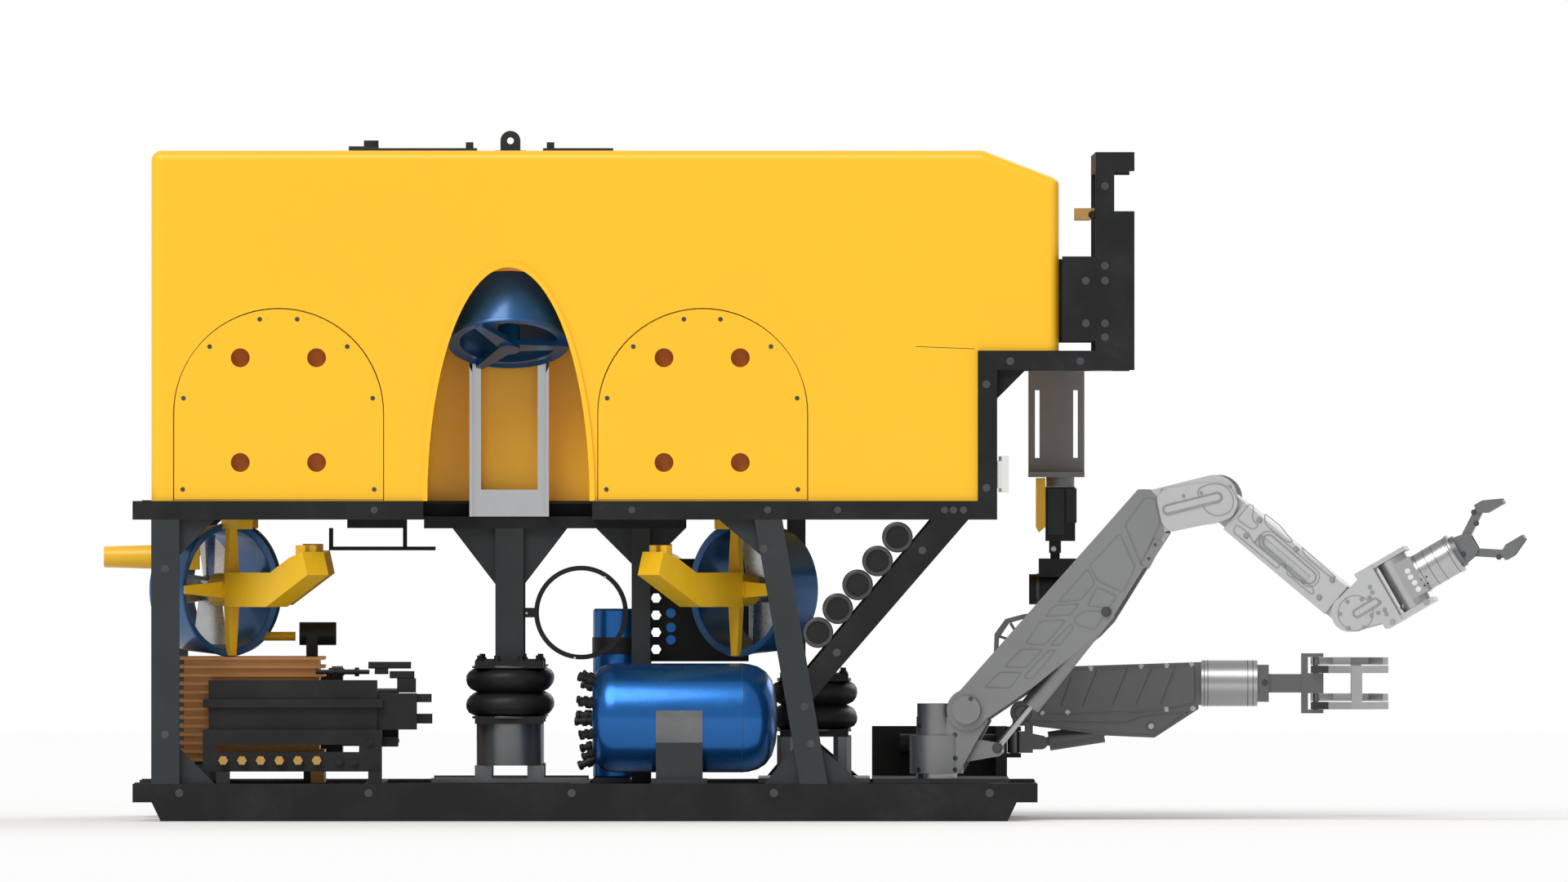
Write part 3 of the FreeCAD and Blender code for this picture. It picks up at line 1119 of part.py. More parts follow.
def arm_porch():
    """The plate under both manipulators, with the grabber's swing hinge and its cylinder."""
    deck = slab("PorchPlate", ("porch_tail_x", PORCH_END), "porch_side_y", (FLOOR, PORCH_TOP))
    top = "(hinge_low_z + hinge_height)"
    side = slab("PorchSide", ("porch_tail_x", PORCH_END), "porch_wall / 2",
                (PORCH_TOP, "%s + porch_plate_height - porch_wall" % FLOOR),
                y="grab_y + hinge_block_half + porch_wall")
    block = slab("HingeBlock", ("%s - 2.5 * hinge_lug_wall" % PORCH_END, PORCH_END), "hinge_block_half",
                 (PORCH_TOP, top), y="grab_y")
    lugs = [slab("HingeLug", (PORCH_END, "%s + hinge_lug_reach" % HINGE_X), "hinge_lug_reach",
                 (low, "%s + hinge_lug_wall" % low), y="grab_y") for low in LUG_LEVELS]
    hinge = cylinder("HingePin", (HINGE_X, "grab_y", "hinge_low_z"), "hinge_pin", "hinge_height")
    ram = cylinder("SlewRam", ("%s - 2.5 * hinge_lug_wall" % PORCH_END, "grab_y", "slew_cylinder_z"),
            "slew_cylinder_radius",
                   "slew_cylinder_length", "-x")
    foot = slab("SlewRamFoot", ("%s - slew_cylinder_length" % PORCH_END,
                                "%s - slew_cylinder_length + 2 * porch_wall" % PORCH_END),
                "slew_cylinder_radius", (PORCH_TOP, "slew_cylinder_z"), y="grab_y")
    return node("arm_porch", fuse("Porch", deck, side, block, *lugs, hinge, ram, foot))


# seven-function arm
ARM = chain(move("arm_base_x", "-arm_base_y", PORCH_TOP), turn("z", "arm_yaw"))
SHOULDER = chain(ARM, move("shoulder_reach", "0", "slew_ring_height + shoulder_rise"))
LIFT_PIN = chain(ARM, move("lift_pin_reach", "0", "slew_ring_height + shoulder_rise - lift_pin_drop"))
UPPER = chain(SHOULDER, turn("y", "-arm_rise_angle"))
ELBOW = chain(UPPER, move("upper_arm_length", "0", "0"), turn("y", "arm_rise_angle - forearm_angle"))
WRIST = chain(ELBOW, move("forearm_length", "0", "0"), turn("y", "forearm_angle - wrist_angle"))
YAW = chain(WRIST, move("yaw_pin_at", "0", "0"))


def pair(name, points, inner, wall):
    """The same plate on both sides of the middle of an arm."""
    return [plate(name, points, wall, frame=move("0", "%d * (%s + (%s) / 2)" % (side, inner, wall), "0"))
            for side in (-1, 1)]


def discs(name, radius, inner, wall, x="0", z="0"):
    """A round end for each plate of a pair."""
    return [cylinder(name, (x, "%s - (%s) / 2 + %d * (%s + (%s) / 2)" % ("0", wall, side, inner, wall), z),
            radius, wall, "y")
            for side in (-1, 1)]


SLEW_TOP = "(slew_ring_height + slew_housing_height)"
ARM_INNER = "(cheek_inner + cheek_wall + side_gap)"


def slew_base():
    ring = cylinder("SlewRing", ("0", "0", "0"), "slew_ring_radius", "slew_ring_height")
    post = cylinder("SlewPost", ("0", "0", "0"), "slew_post_radius", "%s - seat_gap" % SLEW_TOP)
    return node("arm_slew_base", fuse("SlewBase", ring, post, frame=ARM))


def slew_housing():
    """The turning housing with the shoulder's cheeks and pin and the lugs of the lift cylinder."""
    foot = "slew_ring_height + seat_gap"
    drum = cylinder("SlewDrum", ("0", "0", foot), "slew_housing_radius", "slew_drum_height")
    neck = cylinder("SlewNeck", ("0", "0", foot), "slew_neck_radius", "slew_housing_height - seat_gap")
    cap = cylinder("SlewCap", ("0", "0", SLEW_TOP), "slew_cap_radius", "slew_cap_height")
    bore = cylinder("SlewBore", ("0", "0", "0"), "slew_post_radius + running_gap", SLEW_TOP)
    s_x, s_z = "shoulder_reach", "(slew_ring_height + shoulder_rise)"
    outline_points = (
        ("0.1 * shoulder_reach", foot), ("0.73 * shoulder_reach", foot),
        ("%s + 1.4 * shoulder_disc_radius" % s_x, "%s - 0.8 * shoulder_disc_radius" % s_z),
        ("%s + 0.9 * shoulder_disc_radius" % s_x, "%s + 0.65 * shoulder_disc_radius" % s_z),
        ("%s - 0.8 * shoulder_disc_radius" % s_x, "%s + 0.75 * shoulder_disc_radius" % s_z),
        ("0.45 * shoulder_reach", SLEW_TOP), ("0.1 * shoulder_reach", SLEW_TOP),
    )
    cheeks = pair("Cheek", outline_points, "cheek_inner", "cheek_wall")
    p_x, p_z = "lift_pin_reach", "(%s - lift_pin_drop)" % s_z
    lug_points = (
        ("0.7 * slew_housing_radius", "%s - 2 * lift_eye_radius" % p_z),
        (p_x, "%s - lift_eye_radius" % p_z),
        ("%s + lift_eye_radius" % p_x, "%s - 0.5 * lift_eye_radius" % p_z),
        ("%s + lift_eye_radius" % p_x, "%s + 0.5 * lift_eye_radius" % p_z),
        (p_x, "%s + lift_eye_radius" % p_z),
        ("0.7 * slew_housing_radius", "%s + 2 * lift_eye_radius" % p_z),
    )
    lugs = pair("LiftLug", lug_points, "lift_eye_half + lift_lug_gap", "lift_lug_wall")
    lift_pin = pin("LiftPin", (p_x, "0", p_z), "lift_pin_radius",
            "lift_eye_half + lift_lug_gap + lift_lug_wall")
    reach = "%s + arm_plate_wall + side_gap" % ARM_INNER
    shoulder = pin("ShoulderPin", (s_x, "0", s_z), "shoulder_pin", reach)
    caps = discs("ShoulderDisc", "shoulder_disc_radius", reach, "shoulder_disc_wall", s_x, s_z)
    blank = fuse("HousingBlank", drum, neck, cap, *cheeks, *lugs)
    return node("arm_slew_housing", fuse("Housing", cut("HousingBored", blank, bore), lift_pin, shoulder,
            *caps, frame=ARM))


def upper_arm():
    """Two tapered side plates with a box between them, open below for the lift cylinder."""
    points = (
        ("0", "0.9 * arm_root_radius"), ("0.839 * upper_arm_length", "arm_crown"),
        ("0.858 * upper_arm_length", "0.795 * arm_crown"), ("0.812 * upper_arm_length", "0.28 * arm_crown"),
        ("0.818 * upper_arm_length", "0.09 * arm_crown"), ("0.695 * upper_arm_length", "-0.12 * arm_crown"),
        ("0.509 * upper_arm_length", "-0.93 * arm_belly"), ("0.449 * upper_arm_length", "-arm_belly"),
        ("0.197 * upper_arm_length", "-0.92 * arm_belly"), ("0", "-0.9 * arm_root_radius"),
    )
    sides = pair("ArmSide", points, ARM_INNER, "arm_plate_wall")
    box_points = (
        ("0.17 * upper_arm_length", "0.45 * arm_crown"), ("0.838 * upper_arm_length", "0.985 * arm_crown"),
        ("0.857 * upper_arm_length", "0.795 * arm_crown"), ("0.811 * upper_arm_length", "0.28 * arm_crown"),
        ("0.816 * upper_arm_length", "0.09 * arm_crown"), ("0.695 * upper_arm_length", "-0.11 * arm_crown"),
        ("0.6 * upper_arm_length", "0.12 * arm_crown"), ("0.17 * upper_arm_length", "0.12 * arm_crown"),
    )
    inner = plate("ArmBox", box_points, "2 * %s + arm_plate_wall" % ARM_INNER)
    head_points = (
        ("0.802 * upper_arm_length", "0.165 * arm_crown"), ("0.839 * upper_arm_length", "arm_crown"),
        ("0.868 * upper_arm_length", "0.84 * arm_crown"), ("upper_arm_length + 0.53 * elbow_radius",
        "0.85 * elbow_radius"),
        ("upper_arm_length - 0.53 * elbow_radius", "-0.85 * elbow_radius"),
    )
    heads = pair("ElbowSide", head_points, ARM_INNER, "arm_plate_wall")
    ends = discs("ElbowEnd", "elbow_radius", ARM_INNER, "arm_plate_wall", "upper_arm_length")
    roots = discs("ArmRoot", "arm_root_radius", ARM_INNER, "arm_plate_wall")
    elbow = pin("ElbowPin", ("upper_arm_length", "0", "0"), "elbow_pin", "%s + arm_plate_wall" % ARM_INNER)
    covers = [plate("ElbowCover", (
        ("0.842 * upper_arm_length", "0.38 * arm_crown"), ("0.87 * upper_arm_length", "0.62 * arm_crown"),
        ("upper_arm_length + 0.3 * elbow_radius", "0.35 * elbow_radius"),
        ("upper_arm_length - 0.1 * elbow_radius", "-0.5 * elbow_radius")),
        "elbow_cover_wall", frame=move("0", "%d * (%s + arm_plate_wall + elbow_cover_wall / 2)" % (side,
        ARM_INNER), "0"))
        for side in (-1, 1)]
    bore = pin("ShoulderBore", ("0", "0", "0"), "shoulder_pin + running_gap", "2 * " + ARM_INNER)
    blank = fuse("ArmBlank", *sides, inner, *heads, *ends, *roots, elbow, *covers)
    return node("upper_arm", cut("UpperArm", blank, bore, frame=UPPER))


def lift_cylinder(name, at, eye_radius, eye_half, pin_radius, rod, barrel, rod_name, barrel_name, on_rod):
    """A rod and a barrel on one line; the eye belongs to whichever hinges at the pin."""
    rod_radius, rod_length = rod
    barrel_radius, barrel_start, barrel_length, hidden = barrel
    eye = pin(name + "Eye", ("0", "0", "0"), eye_radius, eye_half)
    hole = pin(name + "EyeBore", ("0", "0", "0"), pin_radius + " + running_gap", "2 * " + eye_half)
    sleeve = cylinder(name + "Sleeve", (barrel_start, "0", "0"), barrel_radius, barrel_length, "x")
    if on_rod:
        shaft = cylinder(name + "Shaft", ("0", "0", "0"), rod_radius, rod_length, "x")
        bore = cylinder(name + "SleeveBore", ("%s - 1" % barrel_start, "0", "0"),
                rod_radius + " + running_gap",
                        "%s - %s + %s" % (rod_length, barrel_start, hidden), "x")
        node(rod_name, cut(name + "Rod", fuse(name + "RodBlank", eye, shaft), hole, frame=at))
        return node(barrel_name, cut(name + "Barrel", sleeve, bore, frame=at))
    neck = slab(name + "Neck", ("0", "%s + 1" % barrel_start), eye_half, ("-" + eye_half, eye_half))
    shaft = cylinder(name + "Shaft", ("%s + 3 * %s" % (barrel_start, rod_radius), "0", "0"), rod_radius,
            rod_length, "x")
    bore = cylinder(name + "SleeveBore", ("%s + 3 * %s - %s" % (barrel_start, rod_radius, hidden), "0",
            "0"),
                    rod_radius + " + running_gap", rod_length, "x")
    node(barrel_name, cut(name + "Barrel", fuse(name + "BarrelBlank", eye, neck, sleeve), hole, bore,
            frame=at))
    placed = group(rod_name, shaft, frame=at)
    return node(rod_name, placed)


def arm_lift():
    return lift_cylinder("Lift", chain(LIFT_PIN, turn("y", "-lift_lean_angle")), "lift_eye_radius",
            "lift_eye_half",
                         "lift_pin_radius", ("lift_rod_radius", "lift_rod_length"),
                         ("lift_barrel_radius", "lift_barrel_at", "lift_barrel_length", "lift_travel"),
                         "arm_lift_rod", "arm_lift_barrel", True)


def forearm():
    """A box with a long slot in each side and a tongue at each end."""
    low, high, start = "-forearm_half_height", "forearm_half_height", "forearm_shoulder"
    end = "(forearm_length - wrist_radius - side_gap)"
    points = ((start, "0.9 * " + high), (end, high), (end, "0.96 * " + low), (start, low))
    body = plate("ForearmBox", points, "2 * forearm_half_width")
    slots = []
    for side in (-1, 1):
        y = "%d * forearm_half_width" % side
        slots.append(slab("Slot", ("%s + 85" % start, "%s + 85 + forearm_slot_length" % start),
                "slot_depth",
                          ("-forearm_slot_width / 2 - 7", "forearm_slot_width / 2 - 7"), y=y))
    tongue = "0.96 * forearm_half_height"
    bar = slab("Tongue", ("0", "forearm_length"), "tongue_half", ("-0.9 * forearm_half_height",
            "0.88 * forearm_half_height"))
    ends = [pin("TongueEnd", (x, "0", "0"), tongue, "tongue_half") for x in ("0", "forearm_length")]
    bores = [pin("TongueBore", (x, "0", "0"), "%s + running_gap" % radius, "2 * tongue_half")
             for x, radius in (("0", "elbow_pin"), ("forearm_length", "wrist_pin"))]
    return node("forearm", cut("Forearm", fuse("ForearmBlank", body, bar, *ends), *slots, *bores,
            frame=ELBOW))


def wrist_pitch_link():
    """Round side plates on the forearm's tongue, and the clevis that holds the yaw block."""
    outer = "%s + arm_plate_wall" % ARM_INNER
    top = "(yaw_gap_half + clevis_wall)"
    body = slab("WristBody", ("wrist_body_at", "wrist_body_at + wrist_body_length"), outer,
            ("-" + top, top))
    ends = discs("WristDisc", "wrist_radius", ARM_INNER, "arm_plate_wall")
    arms = pair("WristSide", (("0", "wrist_radius"), ("wrist_body_at + 1", "0.8 * " + top),
                              ("wrist_body_at + 1", "-0.8 * " + top), ("0", "-wrist_radius")),
                ARM_INNER, "arm_plate_wall")
    cross = pin("WristPin", ("0", "0", "0"), "wrist_pin", outer)
    plates = [slab("Clevis", ("wrist_body_at + 1", "clevis_reach"), "clevis_half_width", z)
              for z in (("yaw_gap_half", top), ("-" + top, "-yaw_gap_half"))]
    yaw = cylinder("YawPin", ("yaw_pin_at", "0", "-%s" % top), "yaw_pin_radius", "2 * " + top)
    return node("wrist_pitch_link", fuse("WristLink", body, *ends, *arms, cross, *plates, yaw, frame=WRIST))


def wrist_yaw_block():
    """The block on the yaw pin with the round actuator that turns the gripper."""
    height = "(yaw_gap_half - side_gap)"
    barrel = cylinder("YawBarrel", ("0", "0", "-" + height), "yaw_barrel_radius", "2 * " + height)
    block = slab("YawBlock", ("0", "yaw_block_reach - yaw_pin_at"), "yaw_block_half_width",
            ("-0.75 * " + height, "0.75 * " + height))
    bore = cylinder("YawBore", ("0", "0", "-1.5 * " + height), "yaw_pin_radius + running_gap",
            "3 * " + height)
    drum = cylinder("Actuator", ("yaw_block_reach - yaw_pin_at", "0", "0"), "actuator_radius",
            "actuator_length", "x")
    return node("wrist_yaw_block", cut("YawPart", fuse("YawBlank", barrel, block, drum), bore, frame=YAW))


PALM = chain(YAW, move("yaw_block_reach - yaw_pin_at + actuator_length + seat_gap", "0", "0"))


def gripper():
    """Palm, two links and two tips; the tips stay parallel while the links swing."""
    inner, wall = "palm_fork_inner", "palm_fork_wall"
    disc = cylinder("PalmDisc", ("0", "0", "0"), "palm_radius", "palm_wall", "x")
    high = "palm_half_height"
    fork = pair("PalmFork", (("0", "-" + high), ("palm_fork_length", "-0.8 * " + high),
            ("palm_fork_length + palm_wall", "-0.6 * " + high),
                             ("palm_fork_length + palm_wall", "0.6 * " + high), ("palm_fork_length",
                             "0.8 * " + high), ("0", high)), inner, wall)
    pivot_x = "(palm_wall + finger_pivot_reach)"
    pins = [pin("FingerPin", (pivot_x, "0", "%d * finger_pivot_half" % way), "finger_pin",
            "%s + %s" % (inner, wall))
            for way in (-1, 1)]
    node("gripper_palm", fuse("Palm", disc, *fork, *pins, frame=PALM))
    for name, way in (("upper", 1), ("lower", -1)):
        pivot = chain(PALM, move(pivot_x, "0", "%d * finger_pivot_half" % way))
        link = chain(pivot, turn("y", "%d * finger_link_angle" % -way))
        half, end = "finger_link_width / 2", "finger_link_length"
        points = (("-0.8 * " + half, "-0.7 * " + half), ("0", "-" + half), (end, "-" + half),
                ("%s + 0.8 * %s" % (end, half), "-0.7 * " + half),
                  ("%s + 0.8 * %s" % (end, half), "0.7 * " + half), (end, half), ("0", half),
                  ("-0.8 * " + half, "0.7 * " + half))
        bar = plate("LinkBar", points, "2 * finger_link_half")
        hole = pin("LinkBore", ("0", "0", "0"), "finger_pin + running_gap", "2 * finger_link_half")
        stub = pin("LinkPin", (end, "0", "0"), "finger_pin", "%s + %s" % (inner, wall))
        node("finger_link_" + name, fuse("Link" + name, cut("LinkBored", bar, hole), stub, frame=link))
        drop = "(%d * tip_drop)" % way
        cheek = (("-tip_back", "0.5 * " + drop), ("0.2 * tip_length", "0.5 * " + drop),
                ("tip_length - tip_back", "-0.4 * " + drop),
                 ("tip_length - tip_back", "-" + drop), ("0.8 * tip_back", "-" + drop), ("-tip_back",
                 "-0.5 * " + drop))
        cheeks = pair("TipCheek", cheek, inner, wall)
        low = "-tip_drop" if way > 0 else "tip_drop - tip_pad"
        pad = slab("TipPad", ("0.8 * tip_back", "tip_length - tip_back"), "%s + %s" % (inner, wall),
                (low, "%s + tip_pad" % low))
        holes = pin("TipBore", ("0", "0", "0"), "finger_pin + running_gap", "2 * (%s + %s)" % (inner, wall))
        node("finger_tip_" + name, cut("Tip" + name, fuse("TipBlank" + name, *cheeks, pad), holes,
                                       frame=chain(link, move(end, "0", "0"),
                                       turn("y", "%d * finger_link_angle" % way))))


# grabber
HINGE = chain(move(HINGE_X, "grab_y", "0"))
BOOM = chain(HINGE, move("swing_reach", "0", "boom_pin_z"))
GRAB_PIN = chain(BOOM, move("grab_pin_ahead", "0", "-grab_pin_drop"))
JAW_AXIS = chain(BOOM, move("wrist_at + grab_wrist_length", "0", "grab_wrist_lift"))


def grabber_swing():
    """A bracket on the upright hinge pin; it reaches over the upper lug to the boom's pin."""
    low, top = "(hinge_low_z + hinge_lug_wall + side_gap)", "(hinge_low_z + hinge_height - hinge_lug_wall - side_gap)"
    over = "(hinge_low_z + hinge_height + 2 * side_gap)"
    front = "swing_block_at + swing_block_length"
    points = (
        ("0.7 * hinge_radius", low), (front, low), (front, "boom_pin_z - boom_pin_radius"),
        ("swing_reach + boom_pin_radius", "boom_pin_z + 1.4 * boom_pin_radius"),
        ("swing_reach - boom_pin_radius", "boom_pin_z + 1.4 * boom_pin_radius"),
        ("swing_reach - 1.6 * boom_pin_radius", "boom_pin_z"), ("swing_reach - 1.6 * boom_pin_radius",
        over),
        ("swing_block_at", over), ("swing_block_at", top), ("0.7 * hinge_radius", top),
    )
    block = plate("SwingBlock", points, "2 * swing_half_width")
    barrel = cylinder("SwingBarrel", ("0", "0", low), "hinge_radius", "%s - %s" % (top, low))
    bore = cylinder("SwingBore", ("0", "0", "%s - 1" % low), "hinge_pin + running_gap",
            "%s - %s + 2" % (top, low))
    p_x, p_z = "(swing_reach + grab_pin_ahead)", "(boom_pin_z - grab_pin_drop)"
    lug = (("swing_block_at", "%s - lift_eye_radius" % p_z), (p_x, "%s - lift_eye_radius" % p_z),
           ("%s + lift_eye_radius" % p_x, p_z), (p_x, "%s + lift_eye_radius" % p_z),
           ("swing_block_at", "%s + 1.5 * lift_eye_radius" % p_z))
    lugs = pair("GrabLug", lug, "lift_eye_half + lift_lug_gap", "lift_lug_wall")
    grab_pin = pin("GrabPin", (p_x, "0", p_z), "lift_pin_radius",
            "lift_eye_half + lift_lug_gap + lift_lug_wall")
    boom_pin = pin("BoomPin", ("swing_reach", "0", "boom_pin_z"), "boom_pin_radius",
            "boom_plate_inner + boom_plate_wall")
    return node("grabber_swing", fuse("Swing", cut("SwingCut", fuse("SwingBlank", block, barrel), bore),
            *lugs,
                                      grab_pin, boom_pin, frame=HINGE))


def grabber_boom():
    end = "(wrist_at - 7 * side_gap)"
    points = (
        ("0", "boom_root_round"), ("0.3 * " + end, "0.92 * boom_crown"), (end, "boom_crown"),
        (end, "0.07 * boom_crown"),
        ("0.75 * " + end, "-0.5 * boom_crown"), ("0.49 * " + end, "-0.46 * boom_crown"),
        ("0", "-boom_root_round"),
    )
    sides = pair("BoomSide", points, "boom_plate_inner", "boom_plate_wall")
    middle = plate("BoomBox", (("0.32 * " + end, "0.4 * boom_crown"), ("0.34 * " + end, "0.9 * boom_crown"),
            (end, "boom_crown"),
                               (end, "0.07 * boom_crown"), ("0.34 * " + end, "0.12 * boom_crown")),
                   "2 * boom_plate_inner + boom_plate_wall")
    cap = slab("BoomCap", (end, "wrist_at"), "boom_plate_inner + boom_plate_wall", ("0.15 * boom_crown",
            "boom_crown"))
    roots = discs("BoomRoot", "boom_root_round", "boom_plate_inner", "boom_plate_wall")
    bore = pin("BoomBore", ("0", "0", "0"), "boom_pin_radius + running_gap",
            "2 * (boom_plate_inner + boom_plate_wall)")
    node("grabber_boom", cut("GrabberBoom", fuse("BoomBlank", *sides, middle, cap, *roots), bore,
            frame=BOOM))
    drum = cylinder("GrabWrist", ("wrist_at + seat_gap", "0", "grab_wrist_lift"), "grab_wrist_radius",
                    "grab_wrist_length - seat_gap", "x")
    return node("grabber_wrist", group("GrabWristPlaced", drum, frame=BOOM))


def grabber_lift():
    return lift_cylinder("Grab", chain(GRAB_PIN, turn("y", "-grab_lean_angle")), "lift_eye_radius",
            "lift_eye_half",
                         "lift_pin_radius", ("grab_rod_radius", "grab_rod_length"),
                         ("grab_barrel_radius", "grab_barrel_at", "grab_barrel_length", "grab_travel"),
                         "grabber_lift_rod", "grabber_lift_barrel", False)


CLAW_LEVELS = ("claw_level", "-claw_level - 2 * claw_wall - claw_gap")


def jaw_carrier():
    """The turning head: body, bar and a jaw block with a shelf above and below each pair of claws."""
    body = slab("CarrierBody", ("seat_gap", "carrier_body"), "0.9 * carrier_half_height",
            ("-carrier_half_height", "carrier_half_height"))
    bar = slab("CarrierBar", ("carrier_body", "carrier_body + bar_length"), "bar_half_width",
            ("-bar_half_height", "bar_half_height"))
    start = "(carrier_body + bar_length)"
    back_end = "(%s + 0.3 * jaw_block_length)" % start
    top = "(claw_level + 2 * claw_wall + claw_gap + side_gap)"
    back = slab("JawBack", (start, back_end), "jaw_block_half_width", ("-%s - claw_wall / 2" % top,
            "%s + claw_wall / 2" % top))
    shelf_x = (back_end, "%s + jaw_block_length" % start)
    shelves = [slab("JawShelf", shelf_x, "jaw_block_half_width", z) for z in (
        (top, "%s + claw_wall / 2" % top), ("side_gap - claw_level", "claw_level - side_gap"),
        ("-%s - claw_wall / 2" % top, "-" + top))]
    pivot_x = "%s + 0.65 * jaw_block_length" % start
    pins = [cylinder("ClawPin", (pivot_x, "%d * claw_pivot_half" % way, "-%s" % top), "claw_pin",
            "2 * " + top) for way in (-1, 1)]
    return node("jaw_carrier", fuse("Carrier", body, bar, back, *shelves, *pins, frame=JAW_AXIS))


def claws():
    """Two hooked claws, each of two plates; the plates of one pass between those of the other."""
    pivot_x = "carrier_body + bar_length + 0.65 * jaw_block_length"
    for name, way, step in (("starboard", -1, "0"), ("port", 1, "claw_wall + claw_gap")):
        r, w = "claw_radius", "claw_width"
        points = (("-0.14 * " + r, "-0.12 * " + r), ("0.12 * " + r, "-0.14 * " + r), ("0.5 * " + r,
                "0.42 * " + r),
                  ("%s" % r, "0.6 * " + r), ("1.5 * " + r, "0.42 * " + r), ("1.9 * " + r,
                  "-claw_pivot_half"),
                  ("2.05 * " + r, "0.05 * " + r), ("1.68 * " + r, "0.42 * %s + 0.8 * %s" % (r, w)),
                  ("%s" % r, "0.6 * %s + 1.3 * %s" % (r, w)), ("0.35 * " + r, "0.42 * %s + 1.2 * %s" % (r,
                  w)), ("-0.14 * " + r, "0.2 * " + r))
        points = tuple((x, "%d * (%s)" % (way, y)) for x, y in points)
        plates = []
        for level in CLAW_LEVELS:
            z = "%s + %s + claw_wall / 2" % (level, step)
            plates.append(plate("ClawPlate", points, "claw_wall", "xy", move("0", "0", z)))
        hole = cylinder("ClawBore", ("0", "0", "-2 * claw_radius"), "claw_pin + running_gap",
                "4 * claw_radius")
        bridge_z = ("%s + %s + 1" % (CLAW_LEVELS[1], step), "%s + %s + claw_wall - 1" % (CLAW_LEVELS[0],
                step))
        bridge = box("ClawBridge", ("1.0 * " + r, "%d * (0.6 * %s + 0.2 * %s)%s" % (way, r, w, "" if way > 0
                else " - 0.8 * " + w), bridge_z[0]),
                     ("0.3 * " + r, "0.8 * " + w, "%s - (%s)" % (bridge_z[1], bridge_z[0])))
        node("claw_" + name, cut("Claw" + name, fuse("ClawBlank" + name, *plates, bridge), hole,
                                 frame=chain(JAW_AXIS, move(pivot_x, "%d * claw_pivot_half" % way, "0"))))


# pan and tilt camera
CAMERA_TUBE_FOOT = "(%s - nose_beam_height)" % STEP_Z
PAN_TOP = "(%s - bracket_drop - shelf_drop - shelf_wall - pan_cap_height)" % CAMERA_TUBE_FOOT


def camera_bracket():
    """A slotted plate under the camera tube, with a shelf and the fixed cap of the pan unit."""
    x = ("bracket_tail_x", "bracket_tail_x + bracket_length")
    foot = "(%s - bracket_drop)" % CAMERA_TUBE_FOOT
    sheet_part = slab("BracketPlate", x, "bracket_plate_wall / 2", ("%s - shelf_drop" % foot,
            CAMERA_TUBE_FOOT))
    slots = [slab("BracketSlot", (at, "%s + bracket_slot_width" % at), "bracket_plate_wall",
                  ("%s + bracket_slot_inset" % foot,
                  "%s + bracket_slot_inset + bracket_slot_height" % foot))
             for at in ("bracket_tail_x + bracket_slot_inset",
             "bracket_tail_x + bracket_length - bracket_slot_inset - bracket_slot_width")]
    shelf = slab("BracketShelf", x, "shelf_half_width", ("%s - shelf_drop - shelf_wall" % foot,
            "%s - shelf_drop" % foot))
    cap = cylinder("PanCap", ("pan_x", "0", "%s + seat_gap" % PAN_TOP), "pan_cap_radius",
            "pan_cap_height - seat_gap")
    return node("camera_bracket", fuse("Bracket", cut("SlottedPlate", sheet_part, *slots), shelf, cap))


def camera_pan_unit():
    body = slab("PanBody", ("pan_x - pan_body_half_length", "pan_x + pan_body_half_length"),
            "pan_body_half_width",
                ("%s - pan_body_height" % PAN_TOP, PAN_TOP))
    foot = "(%s - pan_body_height)" % PAN_TOP
    lugs = [slab("TiltLug", ("tilt_pin_x - 2 * tilt_pin_radius", "tilt_pin_x + 2 * tilt_pin_radius"),
            "tilt_cheek_wall / 2",
                 ("%s - tilt_pin_drop - 2 * tilt_pin_radius" % foot, foot), y=y)
            for y in ("-(tilt_lug_half + side_gap + tilt_cheek_wall / 2)",
            "(tilt_lug_half + side_gap + tilt_cheek_wall / 2)")]
    cross = pin("TiltPin", ("tilt_pin_x", "0", "%s - tilt_pin_drop" % foot), "tilt_pin_radius",
                "tilt_lug_half + side_gap + tilt_cheek_wall")
    return node("camera_pan_unit", fuse("PanUnit", body, *lugs, cross))


def camera_tilt_head():
    """The neck on the tilt pin, the bracket below it and the round camera."""
    pivot = "(%s - pan_body_height - tilt_pin_drop)" % PAN_TOP
    plate_top = "%s - tilt_neck_drop" % pivot
    neck = slab("TiltNeck", ("tilt_pin_x - 1.6 * tilt_pin_radius", "tilt_pin_x + 1.6 * tilt_pin_radius"),
            "tilt_lug_half",
                ("%s - 1" % plate_top, "%s + 1.5 * tilt_pin_radius" % pivot))
    block = slab("TiltBlock", ("tilt_pin_x - tilt_plate_tail",
            "tilt_pin_x - tilt_plate_tail + tilt_plate_length"),
                 "tilt_plate_half_width", ("%s - tilt_plate_height" % plate_top, plate_top))
    body = cylinder("CameraTubeBody", ("tilt_pin_x - camera_tail", "0",
            "%s - tilt_plate_height - camera_radius + 8" % plate_top),
                    "camera_radius", "camera_length", "x")
    hole = pin("TiltBore", ("tilt_pin_x", "0", pivot), "tilt_pin_radius + running_gap", "2 * tilt_lug_half")
    return node("camera_tilt_head", cut("TiltHead", fuse("TiltBlank", neck, block, body), hole))


for make in (top_frame, skid_frame, skid_runners, bay_posts, diagonal_struts, front_frame, flood_lamps,
             access_covers, foam_pack, deck_gear, thruster_nozzles, horizontal_motors, vertical_motors,
             propellers, vertical_brackets, shock_mounts, oil_cooler, valve_pack, manifold_fittings,
             power_unit, pressure_bottles, bottle_saddle, bottle_connectors, terminal_panel, bay_hangers,
             accumulators, tail_boom, rear_camera, arm_porch, slew_base, slew_housing, upper_arm, arm_lift,
             forearm, wrist_pitch_link, wrist_yaw_block, gripper, grabber_swing, grabber_boom, grabber_lift,
             jaw_carrier, claws, camera_bracket, camera_pan_unit, camera_tilt_head):
    make()

